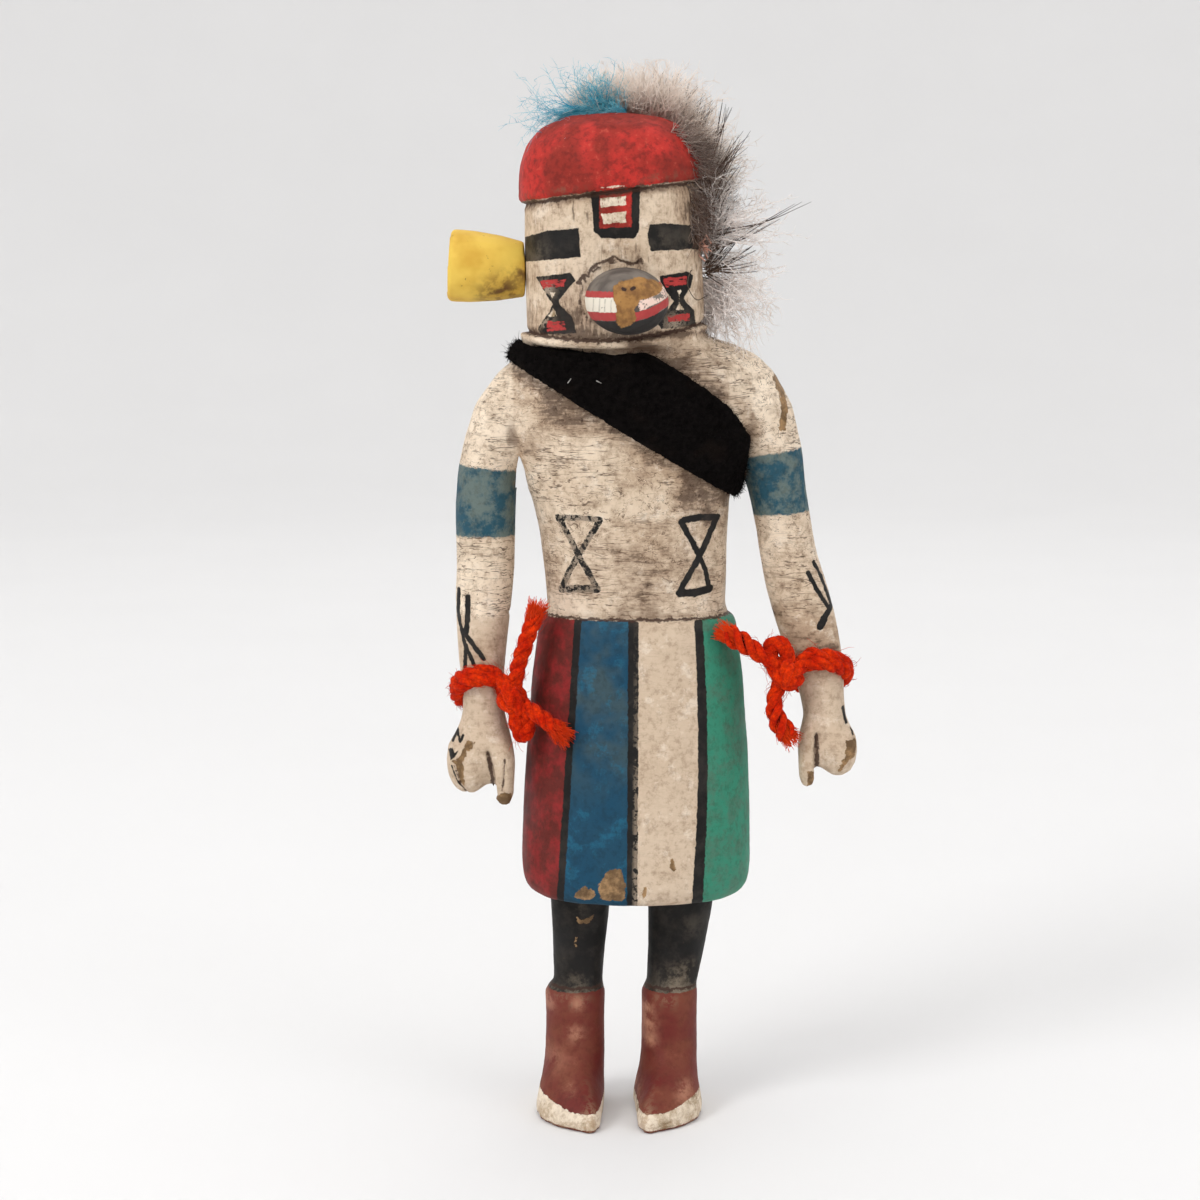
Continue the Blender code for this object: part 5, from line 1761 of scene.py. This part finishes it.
def makeStage():
    # a round sweep of pale paper: flat under the doll, curving up far from it
    flat, curve, top = paper["flat"], paper["curve"], paper["top"]
    profile = [(0.0, 0.0), (0.4, 0.0), (flat, 0.0)]
    profile += [(flat + curve * math.sin(a), curve - curve * math.cos(a))
                for a in [math.pi / 2 * k / 14 for k in range(1, 15)]]
    profile.append((flat + curve, top))
    around = 72
    points = [(0, 0, 0)]
    for radius, height in profile[1:]:
        turns = [2 * math.pi * i / around for i in range(around)]
        points += [(radius * math.cos(turn), radius * math.sin(turn), height) for turn in turns]
    faces = [(0, 1 + i, 1 + (i + 1) % around) for i in range(around)]
    for ring in range(len(profile) - 2):
        for i in range(around):
            a = 1 + ring * around + i
            b = 1 + ring * around + (i + 1) % around
            faces.append((a, b, b + around, a + around))
    mesh = bpy.data.meshes.new("floor")
    mesh.from_pydata(points, [], faces)
    mesh.update()
    mesh.polygons.foreach_set("use_smooth", [True] * len(mesh.polygons))
    mesh.materials.append(paperFinish())
    bm = bmesh.new()
    bm.from_mesh(mesh)
    bmesh.ops.recalc_face_normals(bm, faces=bm.faces)
    bm.faces.ensure_lookup_table()
    if bm.faces[0].normal.z < 0:
        bmesh.ops.reverse_faces(bm, faces=bm.faces)
    bm.to_mesh(mesh)
    bm.free()
    floor = bpy.data.objects.new("floor", mesh)
    bpy.context.scene.collection.objects.link(floor)


def addLamp(name, at, size, power):
    lamp = bpy.data.lights.new(name, "AREA")
    lamp.shape = "DISK"
    lamp.size = size
    lamp.energy = power
    holder = bpy.data.objects.new(name, lamp)
    holder.location = at
    holder.rotation_euler = (Vector((0, 0, 0.13)) - Vector(at)).to_track_quat("-Z", "Y").to_euler()
    bpy.context.scene.collection.objects.link(holder)


def lightWorld():
    world = bpy.data.worlds.new("studio")
    world.use_nodes = True
    background = world.node_tree.nodes["Background"]
    background.inputs[0].default_value = (1, 1, 1, 1)
    background.inputs[1].default_value = skyStrength
    bpy.context.scene.world = world


makeStage()
for name, (at, size, power) in lamps.items():
    addLamp(name, at, size, power)
lightWorld()
bpy.context.scene.view_settings.view_transform = "Standard"
print("stage and light")
